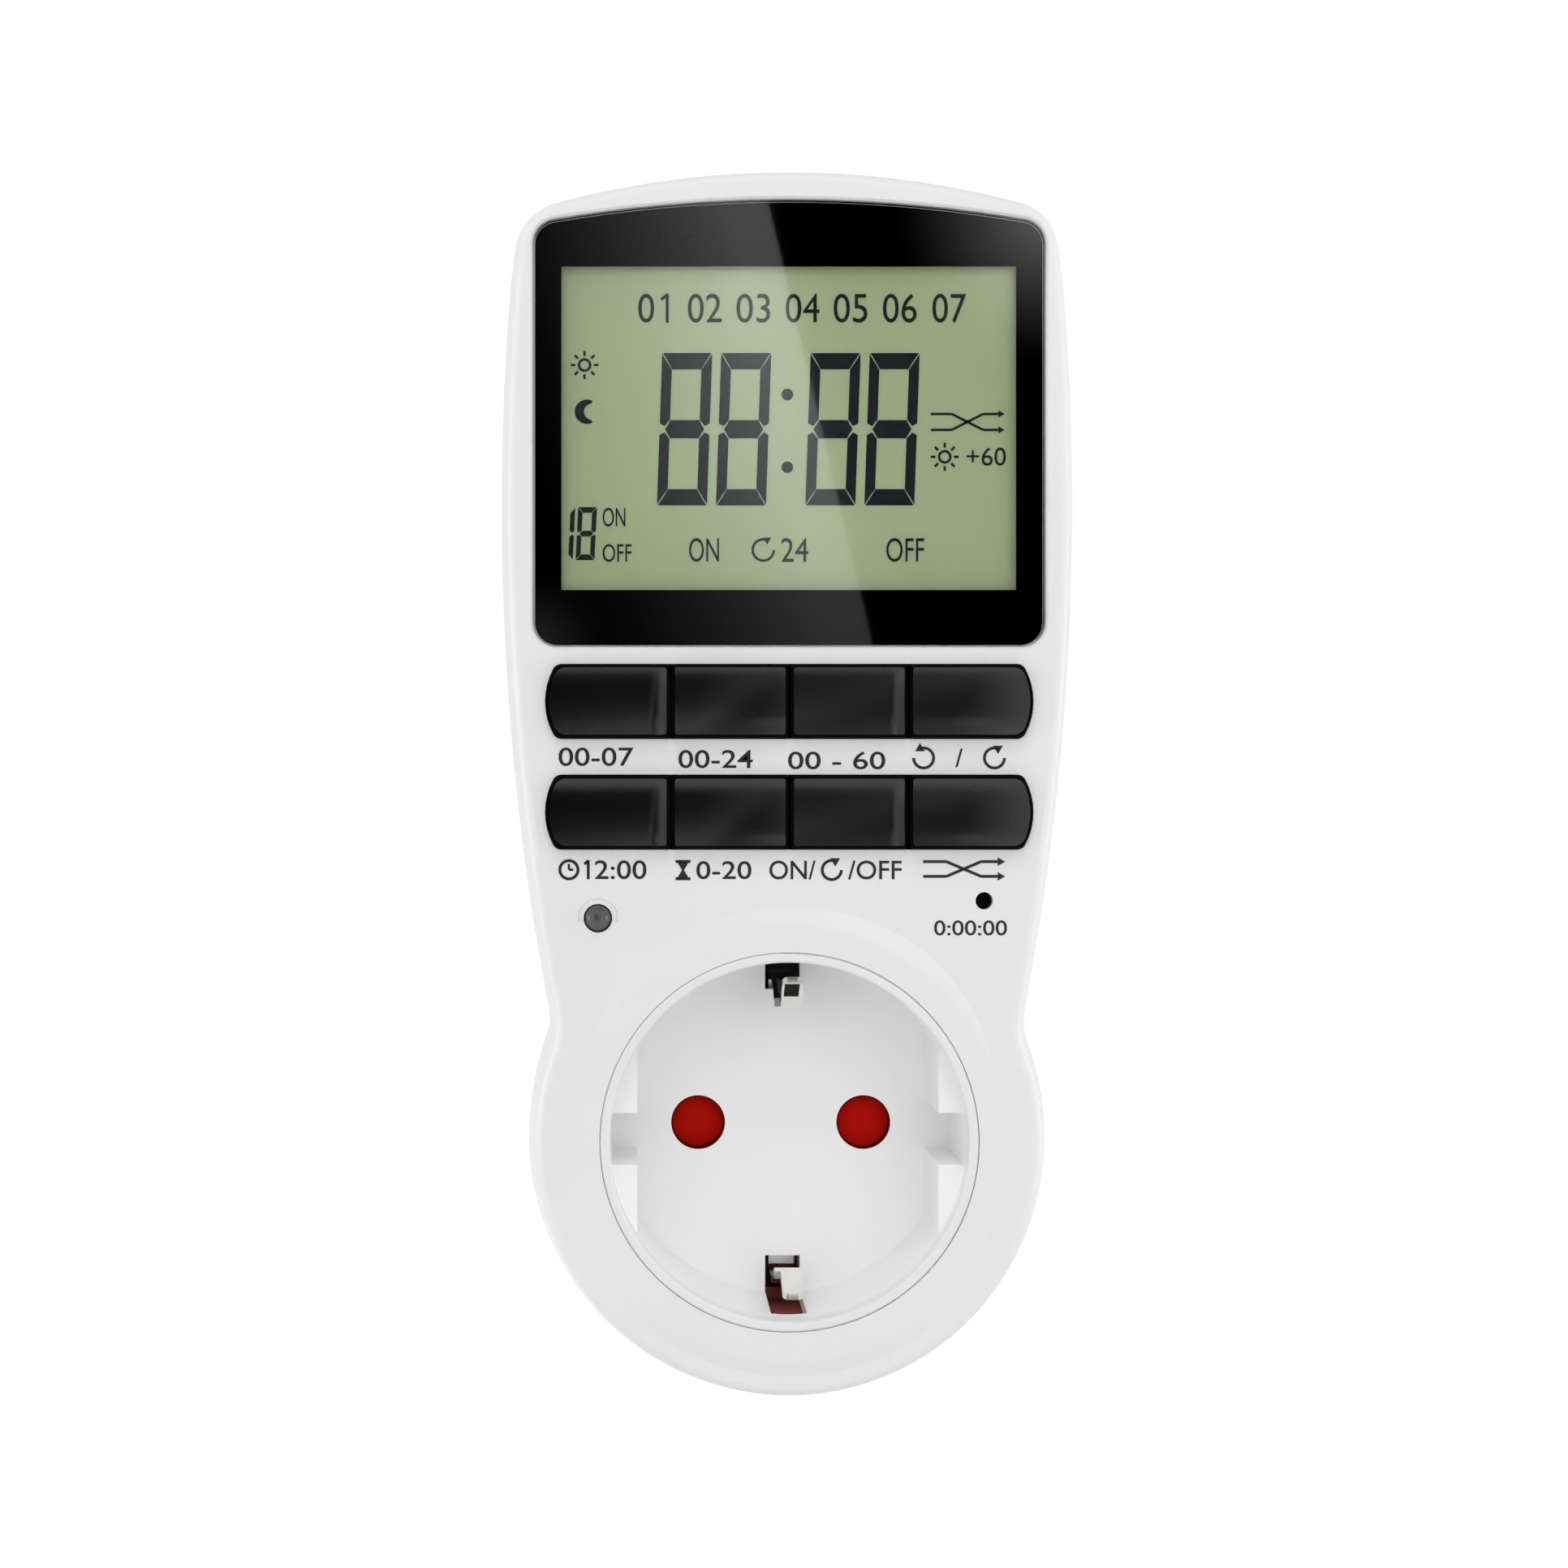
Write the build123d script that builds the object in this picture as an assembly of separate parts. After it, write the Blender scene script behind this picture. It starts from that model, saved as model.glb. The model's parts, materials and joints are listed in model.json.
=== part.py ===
from build123d import *
import os
from math import atan, cos, degrees, radians, sin, sqrt, tan

# Plug-in timer switch: a flat hand-sized housing with a display, eight keys and a recessed socket
# at the front, and an earthed two-pin plug at the back. Millimetres. The front faces -Y and Z is up.
# The origin is on the common axis of plug and socket, in the plug's end face. A height is counted
# from that face towards the front, so a point at height h has y = -h.

os.makedirs("parts", exist_ok=True)

# --- plug ---
pin_spacing = 19.0
pin_radius = 2.4
pin_length = 19.0
pin_nose = 1.4
pin_shank_radius = 1.8
pin_head_radius = 3.0
pin_head_depth = 1.0
pin_stub = 1.5
plug_radius = 18.5
plug_depth = 17.0
plug_half_flat = 16.1
plug_half_rib = 2.4
plug_wall = 1.9
plug_end_wall = 3.0
earth_recess_width = 5.2
earth_recess_depth = 2.0
earth_recess_length = 14.2
earth_strap_width = 4.0
strap_thickness = 0.8
plug_strap_bend = 0.6

# --- housing ---
body_depth = 38.0
rear_shell_depth = 19.0
land_rise = 0.6
bevel_depth = 4.4
bevel_width = 0.9
front_draft = 0.3
rear_draft = 0.8
side_wall = 2.0
front_wall = 2.4
back_wall = 2.0
front_edge_radius = 1.2
rear_edge_radius = 1.6
round_margin = 9.0
widest_margin = 3.72
widest_z = 64.0
hip_inset = 3.2
hip_z = 9.0
shoulder_inset = 0.95
shoulder_z = 94.0
corner_inset = 1.0
corner_z = 101.8
crown_z = 106.3
waist_radius = 8.0
corner_radius = 6.0
land_margin = 4.1
land_slope = 1.9
land_crest_radius = 3.0
swell_flat = 5.0
swell_end = 24.0
lip_height = 1.2
lip_thickness = 0.95
lip_gap = 0.1
parting_width = 0.2
parting_depth = 0.3

# --- display ---
lens_half = 27.7
lens_bottom = 54.0
lens_side_top = 99.8
lens_crown = 102.35
lens_corner = 2.5
lens_thickness = 1.2
mask_thickness = 0.2
mask_inset = 0.05
lens_gap = 0.2
lens_sink = 0.1
lens_rim_chamfer = 0.3
window_margin = 2.9
window_bottom = 60.05
window_top = 95.35
ledge_opening = 0.9
glass_margin = 0.7
glass_bottom = 57.7
glass_top = 97.2
glass_thickness = 2.8
frame_wall = 1.1
frame_ledge = 1.2
frame_corner = 3.0
fit_gap = 0.15
zebra_margin = 3.0
zebra_width = 2.4

# --- keys ---
key_row_margin = 1.3
key_height = 7.87
key_rows_z = (47.88, 35.84)
key_step = 12.9
key_gap = 0.3
key_end_bulge = 1.2
key_corner = 0.9
key_proud = 1.0
key_dish_radius = 20.0
key_dish_depth = 0.34
key_edge_radius = 0.3
key_slot_gap = 0.15
key_flange = 0.6
key_flange_depth = 0.85
key_flange_gap = 0.2
key_foot_radius = 1.8
key_travel = 1.0
mat_thickness = 1.0
mat_inset = 0.8
mat_border = 1.6
dome_radius = 3.0
dome_rest = 0.7
dome_height = key_travel + dome_rest
dome_slant = 25.0

# --- reset button and lamp ---
reset_x = 21.2
reset_z = 26.2
reset_hole_radius = 0.95
reset_radius = 0.8
reset_sink = 0.9
reset_flange_radius = 1.7
reset_flange_depth = 0.8
reset_travel = 0.4
lamp_x = -20.8
lamp_z = 24.3
lamp_radius = 1.45
lamp_gap = 0.1
lamp_proud = 0.9
lamp_flange_radius = 1.75
lamp_flange_depth = 1.0
lamp_dish_radius = 2.2
lamp_dish_depth = 0.12

# --- boards and what they carry ---
board_thickness = 1.6
board_margin = 1.0
control_board_stand = 5.5
control_board_bottom = 19.8
control_board_cut = 24.7
power_board_stand = 4.0
power_board_bottom = 26.5
power_board_top = 96.0
control_post_x = 24.3
control_post_low = (13.0, 27.6)
power_post_low = (22.0, 30.5)
power_post_high = (21.0, 91.5)
battery_radius = 5.75
battery_depth = 5.4
battery_rise = 18.0
chip_radius = 5.0
chip_depth = 1.6
chip_rise = 3.0
crystal_radius = 1.0
crystal_length = 6.2
crystal_step = 5.0
relay_size = (19.0, 15.4, 15.3)
relay_place = (9.5, 43.0)
film_capacitor_size = (18.0, 8.5, 15.0)
film_capacitor_place = (-12.0, 46.0)
filter_radius = 4.0
filter_height = 12.0
filter_x = -14.0
filter_rows_z = (63.0, 75.0)
filter_groove = 0.4
varistor_radius = 5.0
varistor_depth = 4.0
varistor_stand = 0.8
varistor_lead_x = 2.5
varistor_place = (-13.5, 33.0)
fuse_radius = 1.8
fuse_length = 9.0
fuse_place = (7.0, 58.0)
diode_radius = 1.35
diode_length = 5.0
diode_columns_x = (2.0, 6.5, 11.0, 15.5)
diode_z = 67.0
lead_radius = 0.35
lead_bend = 0.6
lead_run = 1.2
lying_stand = 0.3
ribbon_width = 10.0
ribbon_thickness = 0.7
ribbon_bow = 6.0
ribbon_inset = 9.0

# --- socket ---
well_radius = 19.5
well_depth = 17.5
rim_width = 1.1
seam_gap = 0.035
rim_edge_radius = 0.35
cup_wall = 1.5
cup_flange = 0.9
cup_flange_depth = 1.8
cup_floor = 1.6
guide_inset = 3.0
guide_notch_half = 2.85
guide_sink = 3.0
contact_hole_radius = 3.1
slot_half_width = 2.0
slot_shift = 0.2
slot_depth = 4.2
slot_front_gap = 4.4
ear_margin = 4.5
ear_radius = 2.2
ear_post_radius = 1.9
ear_depth = 2.0
ear_drop = 0.3

# --- safety shutter and contact carrier ---
shutter_thickness = 1.9
shutter_gap = 0.2
shutter_reach = 13.2
shutter_cover_half_angle = 20.5
shutter_hub_radius = 4.4
pivot_radius = 1.5
pivot_play = 0.05
spring_wire_radius = 0.28
spring_radius = 2.7
spring_turns = 2
spring_leg = 3.0
carrier_margin = 0.8
carrier_plate = 2.5
carrier_sleeve = 5.5
carrier_sleeve_wall = 1.2
carrier_post_x = 4.5
carrier_post_z = 10.5
carrier_post_radius = 2.0
tab_half = 3.3
tab_thickness = 0.8
contact_radius = 3.2
contact_wall = 0.7
contact_stand = 2.6
contact_sink = 0.5
contact_slit = 0.8
clip_width = 3.0
clip_tongue = 2.35
clip_rise = 14.0
clip_arm_inset = 1.9
clip_bow_insets = (4.2, 5.0)
clip_tip_insets = (2.3, 1.6)
clip_drop = 0.7
clip_aside = 0.45
strap_gap = 0.4

# --- fasteners and wires ---
screw_radius = 0.9
screw_head_radius = 1.7
screw_head_depth = 1.4
screw_length = 5.0
screw_pilot_gap = 0.05
board_post_radius = 1.85
case_screw_radius = 1.1
case_screw_head_radius = 2.0
case_screw_head_depth = 1.9
case_screw_length = 12.0
case_screw_bridge = 3.0
case_pocket_gap = 0.15
case_post_wall = 0.85
front_post_radius = 1.9
case_screw_top = (10.0, 5.0)
case_screw_inset = 4.3
case_screw_angle = 60.6
wire_radius = 1.0
wire_bend = 2.0
wire_foot_bend = 1.0
wire_foot_z = 34.0
load_foot_x = -12.5
neutral_foot_x = 10.0
live_foot_x = -7.0
live_climb = (4.5, 8.0)
live_reach = (9.5, 13.0)
contact_wire_rise = 1.4
contact_wire_lead = 5.0
contact_wire_foot = 7.0
neutral_strip_width = 4.0
neutral_strip_bend = 0.8

# --- widths that follow from the sizes above ---
widest_half = lens_half + widest_margin
shoulder_half = widest_half - shoulder_inset
corner_half = shoulder_half - corner_inset
round_radius = well_radius + round_margin
hip_half = round_radius - hip_inset
land_radius = well_radius + land_margin
cup_wall_radius = well_radius + cup_wall
cup_flange_radius = cup_wall_radius + cup_flange
guide_half = well_radius - guide_inset
slot_inner = well_radius - slot_depth
ear_circle = well_radius + ear_margin
carrier_radius = well_radius + carrier_margin
window_half = lens_half - window_margin
glass_half = lens_half - glass_margin
zebra_half = glass_half - zebra_margin
key_row_half = lens_half - key_row_margin
key_splits = (-key_step, 0.0, key_step)
mat_half = key_row_half - mat_inset
case_post_radius = case_screw_head_radius + case_pocket_gap + case_post_wall
strip_outer = contact_radius + 0.02 + strap_thickness

# --- heights that follow from the sizes above ---
back_height = plug_depth
split_height = back_height + rear_shell_depth
rim_height = back_height + body_depth
face_height = rim_height - land_rise
bevel_height = face_height - bevel_depth
face_inside = face_height - front_wall
land_inside = rim_height - front_wall
back_inside = back_height + back_wall
lens_floor = face_height - lens_sink - lens_thickness - mask_thickness
glass_front = face_inside - 0.2
control_front = face_inside - control_board_stand
control_back = control_front - board_thickness
power_back = back_inside + power_board_stand
power_front = power_back + board_thickness
well_floor = rim_height - well_depth
floor_back = well_floor - cup_floor
shutter_front = floor_back - shutter_gap
shutter_back = shutter_front - shutter_thickness
carrier_front = shutter_back - shutter_gap
carrier_back = carrier_front - carrier_plate
sleeve_back = carrier_back - carrier_sleeve
strap_front = carrier_back - strap_gap
slot_front = rim_height - slot_front_gap
ear_front = land_inside - cup_flange_depth - ear_drop
contact_back = back_inside + contact_stand
contact_front = carrier_front - contact_sink
key_top = face_height + key_proud
key_flange_front = face_inside - key_flange_gap
key_flange_back = key_flange_front - key_flange_depth
mat_front = control_front + mat_thickness
dome_top = mat_front + dome_height
key_foot_end = dome_top + 0.3
reset_front = face_height - reset_sink
reset_flange_front = face_inside - key_flange_gap
reset_foot_end = reset_flange_front - reset_flange_depth - 1.0
switch_top = reset_foot_end - reset_travel - 0.05
pin_head_back = plug_end_wall + pin_head_depth
wire_run = power_back - wire_radius - 0.4
contact_wire_height = contact_back + contact_wire_rise
spring_pitch = 2 * spring_wire_radius + 0.02
spring_top = shutter_back - 0.1 - spring_wire_radius
spring_well_floor = spring_top - spring_turns * spring_pitch - spring_wire_radius - 0.08
strap_bridge = earth_recess_length - 1.6


def level(height):
    """The plane at a height, seen from the front: its own X and Y are X and Z."""
    return Plane.XZ.offset(height)


def slab(shape, low, high):
    """A flat shape drawn in X and Z, extruded between two heights."""
    return extrude(level(low) * shape, amount=high - low)


def disc(x, z, radius):
    return Pos(x, z) * Circle(radius)


def rod(x, z, radius, low, high):
    return slab(disc(x, z, radius), low, high)


def block(x, z, width, tall, low, high):
    return slab(Pos(x, z) * Rectangle(width, tall), low, high)


def turned(points):
    """A ring or disc turned about the socket axis, from (radius, height) points."""
    return revolve(make_face(Polyline([(r, -h) for r, h in points], close=True)), Axis.Y)


def strip(points, bend, width, thickness, x=0.0):
    """A bent metal strip, from (height, z) points along its middle."""
    path = FilletPolyline([Vector(x, -h, z) for h, z in points], radius=bend)
    start = Plane(origin=path @ 0, x_dir=(1, 0, 0), z_dir=path % 0)
    return sweep(start * Rectangle(width, thickness), path=path)


def wire(points, bend, radius):
    """An insulated wire, from (x, height, z) points along its middle."""
    path = FilletPolyline([Vector(x, -h, z) for x, h, z in points], radius=bend)
    return sweep(Plane(origin=path @ 0, z_dir=path % 0) * Circle(radius), path=path)


def housing_outline(grow=0.0):
    """The arched display end and the round socket end, joined at a filleted waist."""
    right = [
        ThreePointArc((hip_half, hip_z), (widest_half, widest_z), (shoulder_half, shoulder_z)),
        Line((shoulder_half, shoulder_z), (corner_half, corner_z)),
    ]
    left = [
        Line((-corner_half, corner_z), (-shoulder_half, shoulder_z)),
        ThreePointArc((-shoulder_half, shoulder_z), (-widest_half, widest_z), (-hip_half, hip_z)),
    ]
    top = ThreePointArc((corner_half, corner_z), (0, crown_z), (-corner_half, corner_z))
    shape = make_face([*right, top, *left, Line((-hip_half, hip_z), (hip_half, hip_z))])
    shape = Sketch() + shape + Circle(round_radius)
    waist = [v for v in shape.vertices() if v.Y < round_radius]
    shape = fillet(waist, waist_radius)
    shape = fillet([v for v in shape.vertices() if v.Y > corner_z - 0.1], corner_radius)
    if grow:
        shape = offset(shape, grow, kind=Kind.ARC)
    return shape


def lens_outline(grow=0.0):
    """The display lens: straight sides and foot, an arched top and rounded corners."""
    half = lens_half + grow
    low = lens_bottom - grow
    side = lens_side_top + grow
    edges = [
        Line((-half, low), (half, low)),
        Line((half, low), (half, side)),
        ThreePointArc((half, side), (0, lens_crown + grow), (-half, side)),
        Line((-half, side), (-half, low)),
    ]
    shape = make_face(edges)
    return fillet(shape.vertices(), lens_corner + grow)


def key_row_outline(row_z, grow=0.0):
    """One row of keys: a bar with bowed ends and rounded corners."""
    half = key_row_half + grow
    rise = key_height / 2 + grow
    straight = half - key_end_bulge
    edges = [
        Line((-straight, row_z - rise), (straight, row_z - rise)),
        ThreePointArc((straight, row_z - rise), (half, row_z), (straight, row_z + rise)),
        Line((straight, row_z + rise), (-straight, row_z + rise)),
        ThreePointArc((-straight, row_z + rise), (-half, row_z), (-straight, row_z - rise)),
    ]
    shape = make_face(edges)
    return fillet(shape.vertices(), key_corner + grow)


def key_limits(column):
    """Left and right edge of a key column, half a gap inside the splits."""
    edges = (-key_row_half, *key_splits, key_row_half)
    left = edges[column] + (key_gap / 2 if column > 0 else 0)
    right = edges[column + 1] - (key_gap / 2 if column < len(key_splits) else 0)
    return left, right


def key_centre(column):
    left, right = key_limits(column)
    return (left + right) / 2


def small_screw(x, z, seat, towards_front=True):
    """A self-tapping screw whose head sits at a height; its shaft runs to the front or to the back."""
    way = 1 if towards_front else -1
    head = rod(x, z, screw_head_radius, *sorted((seat - way * screw_head_depth, seat)))
    shaft = rod(x, z, screw_radius, *sorted((seat, seat + way * screw_length)))
    slot = block(x, z, 2 * screw_head_radius + 1, 0.5,
                 *sorted((seat - way * screw_head_depth, seat - way * (screw_head_depth - 0.6))))
    return head + shaft - slot


def front_draft_angle():
    return atan(front_draft / (bevel_height - split_height))


def front_housing_form():
    """The closed outer form of the front shell: drafted sides, bevelled shoulder and swollen waist."""
    skirt = extrude(level(split_height) * housing_outline(front_draft),
                    amount=bevel_height - split_height, taper=degrees(front_draft_angle()))
    shoulder = extrude(level(bevel_height) * housing_outline(),
                       amount=rim_height - bevel_height + 0.2,
                       taper=degrees(atan(bevel_width / bevel_depth)))
    low, high, rise = -2 * round_radius, crown_z + round_radius, swell_end
    side_view = make_face([
        Line((0, low), (-face_height, low)),
        Line((-face_height, low), (-face_height, -rise)),
        Spline((-face_height, -rise), (-rim_height, -swell_flat), tangents=[(0, 1), (0, 1)]),
        Line((-rim_height, -swell_flat), (-rim_height, swell_flat)),
        Spline((-rim_height, swell_flat), (-face_height, rise), tangents=[(0, 1), (0, 1)]),
        Line((-face_height, rise), (-face_height, high)),
        Line((-face_height, high), (0, high)),
        Line((0, high), (0, low)),
    ])
    form = (skirt + shoulder) & extrude(Plane.YZ * side_view, amount=2 * widest_half, both=True)
    rim = [e for e in form.edges() if e.center().Y < -face_height + 0.2]
    form = fillet(rim, front_edge_radius)
    land = turned([
        (0, bevel_height),
        (land_radius + land_slope, bevel_height),
        (land_radius + land_slope, face_height),
        (land_radius, rim_height),
        (0, rim_height),
    ])
    crest = [e for e in land.edges() if abs(e.center().Y + rim_height) < 0.01]
    land = fillet(crest, land_crest_radius)
    groove = housing_outline(front_draft + 1) - housing_outline(front_draft - parting_depth)
    return form + land - slab(groove, split_height - 1, split_height + parting_width)


def make_front_shell():
    tongue = housing_outline(front_draft - side_wall + lip_thickness)
    shell = front_housing_form() + slab(tongue, split_height - lip_height, split_height + 0.5)
    cavity_back = split_height - lip_height - 1
    spread = (split_height - cavity_back) * tan(front_draft_angle())
    shell -= extrude(level(cavity_back) * housing_outline(front_draft - side_wall + spread),
                     amount=face_inside - cavity_back, taper=degrees(front_draft_angle()))
    shell -= rod(0, 0, land_radius, face_inside - 0.1, land_inside)
    for x, z in case_screw_spots():
        shell -= rod(x, z, case_post_radius + lip_gap, split_height - lip_height - 1, split_height)
    # openings: socket, lens recess, display, key rows, lamp and reset pinhole
    collar_radius = well_radius + rim_width
    shell -= rod(0, 0, collar_radius + seam_gap, face_inside - 1, rim_height + 1)
    recess = slab(lens_outline(lens_gap), lens_floor, face_height + 1)
    recess_rim = extrude(level(face_height - lens_rim_chamfer) * lens_outline(lens_gap),
                         amount=2 * lens_rim_chamfer, taper=-45)
    shell -= recess + recess_rim
    window_z = (window_bottom + window_top) / 2
    shell -= block(0, window_z, 2 * (window_half + ledge_opening),
                   window_top - window_bottom + 2 * ledge_opening, face_inside - 1, face_height)
    for row_z in key_rows_z:
        shell -= slab(key_row_outline(row_z, key_slot_gap), face_inside - 1, face_height + 1)
    shell -= rod(lamp_x, lamp_z, lamp_radius + lamp_gap, face_inside - 1, face_height + 1)
    shell -= extrude(level(face_height) * disc(lamp_x, lamp_z, lamp_dish_radius),
                     amount=-lamp_dish_depth, taper=45)
    shell -= rod(reset_x, reset_z, reset_hole_radius, face_inside - 1, face_height + 1)
    # posts for the case screws, the control board and the socket cup
    for x, z in case_screw_spots():
        post_end = face_inside if z > 0 else land_inside
        shell += rod(x, z, front_post_radius, split_height, post_end + 0.5)
        shell -= rod(x, z, case_screw_radius + screw_pilot_gap, split_height - 1,
                     split_height + case_screw_length)
    for x, z in control_post_spots():
        shell += rod(x, z, board_post_radius, control_front, face_inside + 0.5)
        shell -= rod(x, z, screw_radius + screw_pilot_gap, control_front - 1,
                     control_back + screw_length + 0.2)
    for x, z in ear_spots():
        shell += rod(x, z, ear_post_radius, ear_front, land_inside + 0.5)
        shell -= rod(x, z, screw_radius + screw_pilot_gap, ear_front - 1,
                     ear_front - ear_depth + screw_length + 0.2)
    return shell


def both_sides(x, z):
    return [(-x, z), (x, z)]


def case_screw_spots():
    """Two screws under the crown and two in the round end."""
    x, drop = case_screw_top
    reach = round_radius - case_screw_inset
    turn = radians(case_screw_angle)
    return both_sides(x, crown_z - drop) + both_sides(reach * cos(turn), -reach * sin(turn))


def control_post_spots():
    """Two posts between the display and the upper keys, and two below the lower keys."""
    keys_end = key_rows_z[0] + key_height / 2 + key_flange
    frame_end = glass_bottom - fit_gap - frame_wall
    return both_sides(control_post_x, (keys_end + frame_end) / 2) + both_sides(*control_post_low)


def power_post_spots():
    return both_sides(*power_post_low) + both_sides(*power_post_high)


def ear_spots():
    reach = ear_circle / sqrt(2)
    return both_sides(reach, -reach) + both_sides(reach, reach)


def plug_section(inset=0.0):
    """Cross-section of the plug: a round with side flats, and a rib in the middle of each flat."""
    flats = Rectangle(2 * (plug_half_flat - inset), 3 * plug_radius)
    return Circle(plug_radius - inset) & flats


def make_rear_shell():
    back = Plane(origin=(0, -split_height, 0), x_dir=(-1, 0, 0), z_dir=(0, 1, 0))
    form = extrude(back * mirror(housing_outline(front_draft), about=Plane.YZ),
                   amount=rear_shell_depth, taper=degrees(atan(rear_draft / rear_shell_depth)))
    rim = [e for e in form.edges() if abs(e.center().Y + back_height) < 0.01]
    form = fillet(rim, rear_edge_radius)
    inside = extrude(back * mirror(housing_outline(front_draft - side_wall), about=Plane.YZ),
                     amount=rear_shell_depth - back_wall,
                     taper=degrees(atan(rear_draft / rear_shell_depth)))
    shell = form - inside
    rebate = housing_outline(front_draft - side_wall + lip_thickness + lip_gap)
    shell -= slab(rebate, split_height - lip_height - lip_gap, split_height + 1)
    # the plug, hollow behind its end wall, with side ribs and recesses for the earth strap
    rib = Circle(plug_radius) & Rectangle(3 * plug_radius, 2 * plug_half_rib)
    plug = slab(plug_section() + rib, 0, back_height + back_wall)
    end = [e for e in plug.edges() if abs(e.center().Y) < 0.01]
    plug = fillet(end, 0.8)
    shell += plug
    hollow = plug_section(plug_wall) & Rectangle(4 * plug_radius, 2 * recess_floor() - 2 * plug_wall)
    shell -= slab(hollow, plug_end_wall, back_inside + 1)
    for way in (-1, 1):
        z = way * (recess_floor() + plug_radius / 2)
        shell -= block(0, z, earth_recess_width, plug_radius, -1, earth_recess_length)
        shell -= block(0, way * recess_floor(), earth_strap_width + 2 * fit_gap, 4 * plug_wall,
                       strap_bridge - strap_thickness / 2 - fit_gap,
                       strap_bridge + strap_thickness / 2 + fit_gap)
        shell -= rod(way * pin_spacing / 2, 0, pin_shank_radius + 0.03, -1, plug_end_wall + 1)
    # case screw pockets and power board posts
    for x, z in case_screw_spots():
        pocket = case_screw_head_radius + case_pocket_gap
        top = split_height - lip_gap
        shell += rod(x, z, case_post_radius, back_height + 1, top) & form
        shell -= rod(x, z, pocket, back_height - 1, top - case_screw_bridge)
        shell -= rod(x, z, case_screw_radius + 0.2, back_height, top + 1)
    for x, z in power_post_spots():
        shell += rod(x, z, board_post_radius + 0.3, back_inside - 0.5, power_back)
        shell -= rod(x, z, screw_radius + screw_pilot_gap, power_front - screw_length - 0.2, power_back + 1)
    return shell


def recess_floor():
    """Distance of the floor of an earth recess from the plug's axis."""
    return plug_radius - earth_recess_depth


def make_plug_pin(side):
    x = side * pin_spacing / 2
    pin = rod(x, 0, pin_radius, -pin_length, 0)
    tip = [e for e in pin.edges() if e.center().Y > pin_length - 0.01]
    pin = fillet(tip, pin_nose)
    pin += rod(x, 0, pin_shank_radius, 0, plug_end_wall)
    pin += rod(x, 0, pin_head_radius, plug_end_wall, pin_head_back)
    pin += rod(x, 0, pin_shank_radius, pin_head_back, pin_head_back + pin_stub)
    return pin


def make_plug_earth_strap():
    """A U of strip: its bridge crosses inside the plug and its legs lie in the outer recesses."""
    leg = recess_floor() + strap_thickness / 2 + 0.05
    points = [(1.2, -leg), (strap_bridge, -leg), (strap_bridge, leg), (1.2, leg)]
    return strip(points, plug_strap_bend, earth_strap_width, strap_thickness)


def make_socket_cup():
    collar_radius = well_radius + rim_width
    flange_front = land_inside
    cup = turned([
        (0, floor_back),
        (cup_wall_radius, floor_back),
        (cup_wall_radius, flange_front - cup_flange_depth),
        (cup_flange_radius, flange_front - cup_flange_depth),
        (cup_flange_radius, flange_front),
        (collar_radius, flange_front),
        (collar_radius, rim_height),
        (well_radius, rim_height),
        (well_radius, well_floor),
        (0, well_floor),
    ])
    rim = [e for e in cup.edges() if abs(e.center().Y + rim_height) < 0.01]
    cup = fillet(rim, rim_edge_radius)
    # guide flats on both sides, each with a notch at mid-height for the plug's rib
    guides = Circle(well_radius + 0.5) - Rectangle(2 * guide_half, 3 * well_radius)
    guides -= Rectangle(3 * well_radius, 2 * guide_notch_half)
    blocks = slab(guides, well_floor - 0.5, rim_height - guide_sink)
    cup += blocks
    for side in (-1, 1):
        cup -= rod(side * pin_spacing / 2, 0, contact_hole_radius, floor_back - 1, well_floor + 1)
        slot_outer = cup_wall_radius + 1.5
        cup -= block(slot_shift, side * (slot_inner + slot_outer) / 2, 2 * slot_half_width,
                     slot_outer - slot_inner, floor_back - 1, slot_front)
    for x, z in ear_spots():
        ear = disc(x, z, ear_radius) + Pos(x * 0.94, z * 0.94) * Rot(0, 0, 45) * Rectangle(
            2 * ear_radius, 2 * ear_radius)
        ear = ear - Circle(cup_wall_radius - 0.3)
        cup += slab(ear, ear_front - ear_depth, ear_front)
        cup -= rod(x, z, screw_radius + 0.15, ear_front - ear_depth - 1, ear_front + 1)
    cup += rod(0, 0, pivot_radius, spring_well_floor + 0.3, floor_back + 0.5)
    for x, z in carrier_post_spots():
        cup += rod(x, z, carrier_post_radius, carrier_front, floor_back + 0.5)
        cup -= rod(x, z, screw_radius + screw_pilot_gap, carrier_front - 1,
                   carrier_back + screw_length + 0.2)
    return cup


def carrier_post_spots():
    return [(-carrier_post_x, carrier_post_z), (carrier_post_x, -carrier_post_z)]


def make_safety_shutter():
    """A bow-tie plate on a central pivot: one wing behind each contact hole."""
    spread = radians(shutter_cover_half_angle)
    reach = shutter_reach / cos(spread) * 1.05
    wing = Polygon((0, 0), (reach * cos(spread), -reach * sin(spread)),
                   (reach * cos(spread), reach * sin(spread)), align=None)
    plate = (wing + mirror(wing, about=Plane.YZ)) & Circle(shutter_reach)
    plate = plate + Circle(shutter_hub_radius) - Circle(pivot_radius + pivot_play)
    shutter = slab(plate, shutter_back, shutter_front)
    # each wing thins towards the side that a plug pin pushes past
    for side in (-1, 1):
        edge = make_face(Polyline([(side * 4.0, side * 1.2), (side * shutter_reach, side * 4.2),
                                   (side * shutter_reach, side * 6.0), (side * 4.0, side * 2.4)],
                                  close=True))
        shutter -= slab(edge, shutter_front - 0.5, shutter_front + 1)
    return shutter


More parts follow.
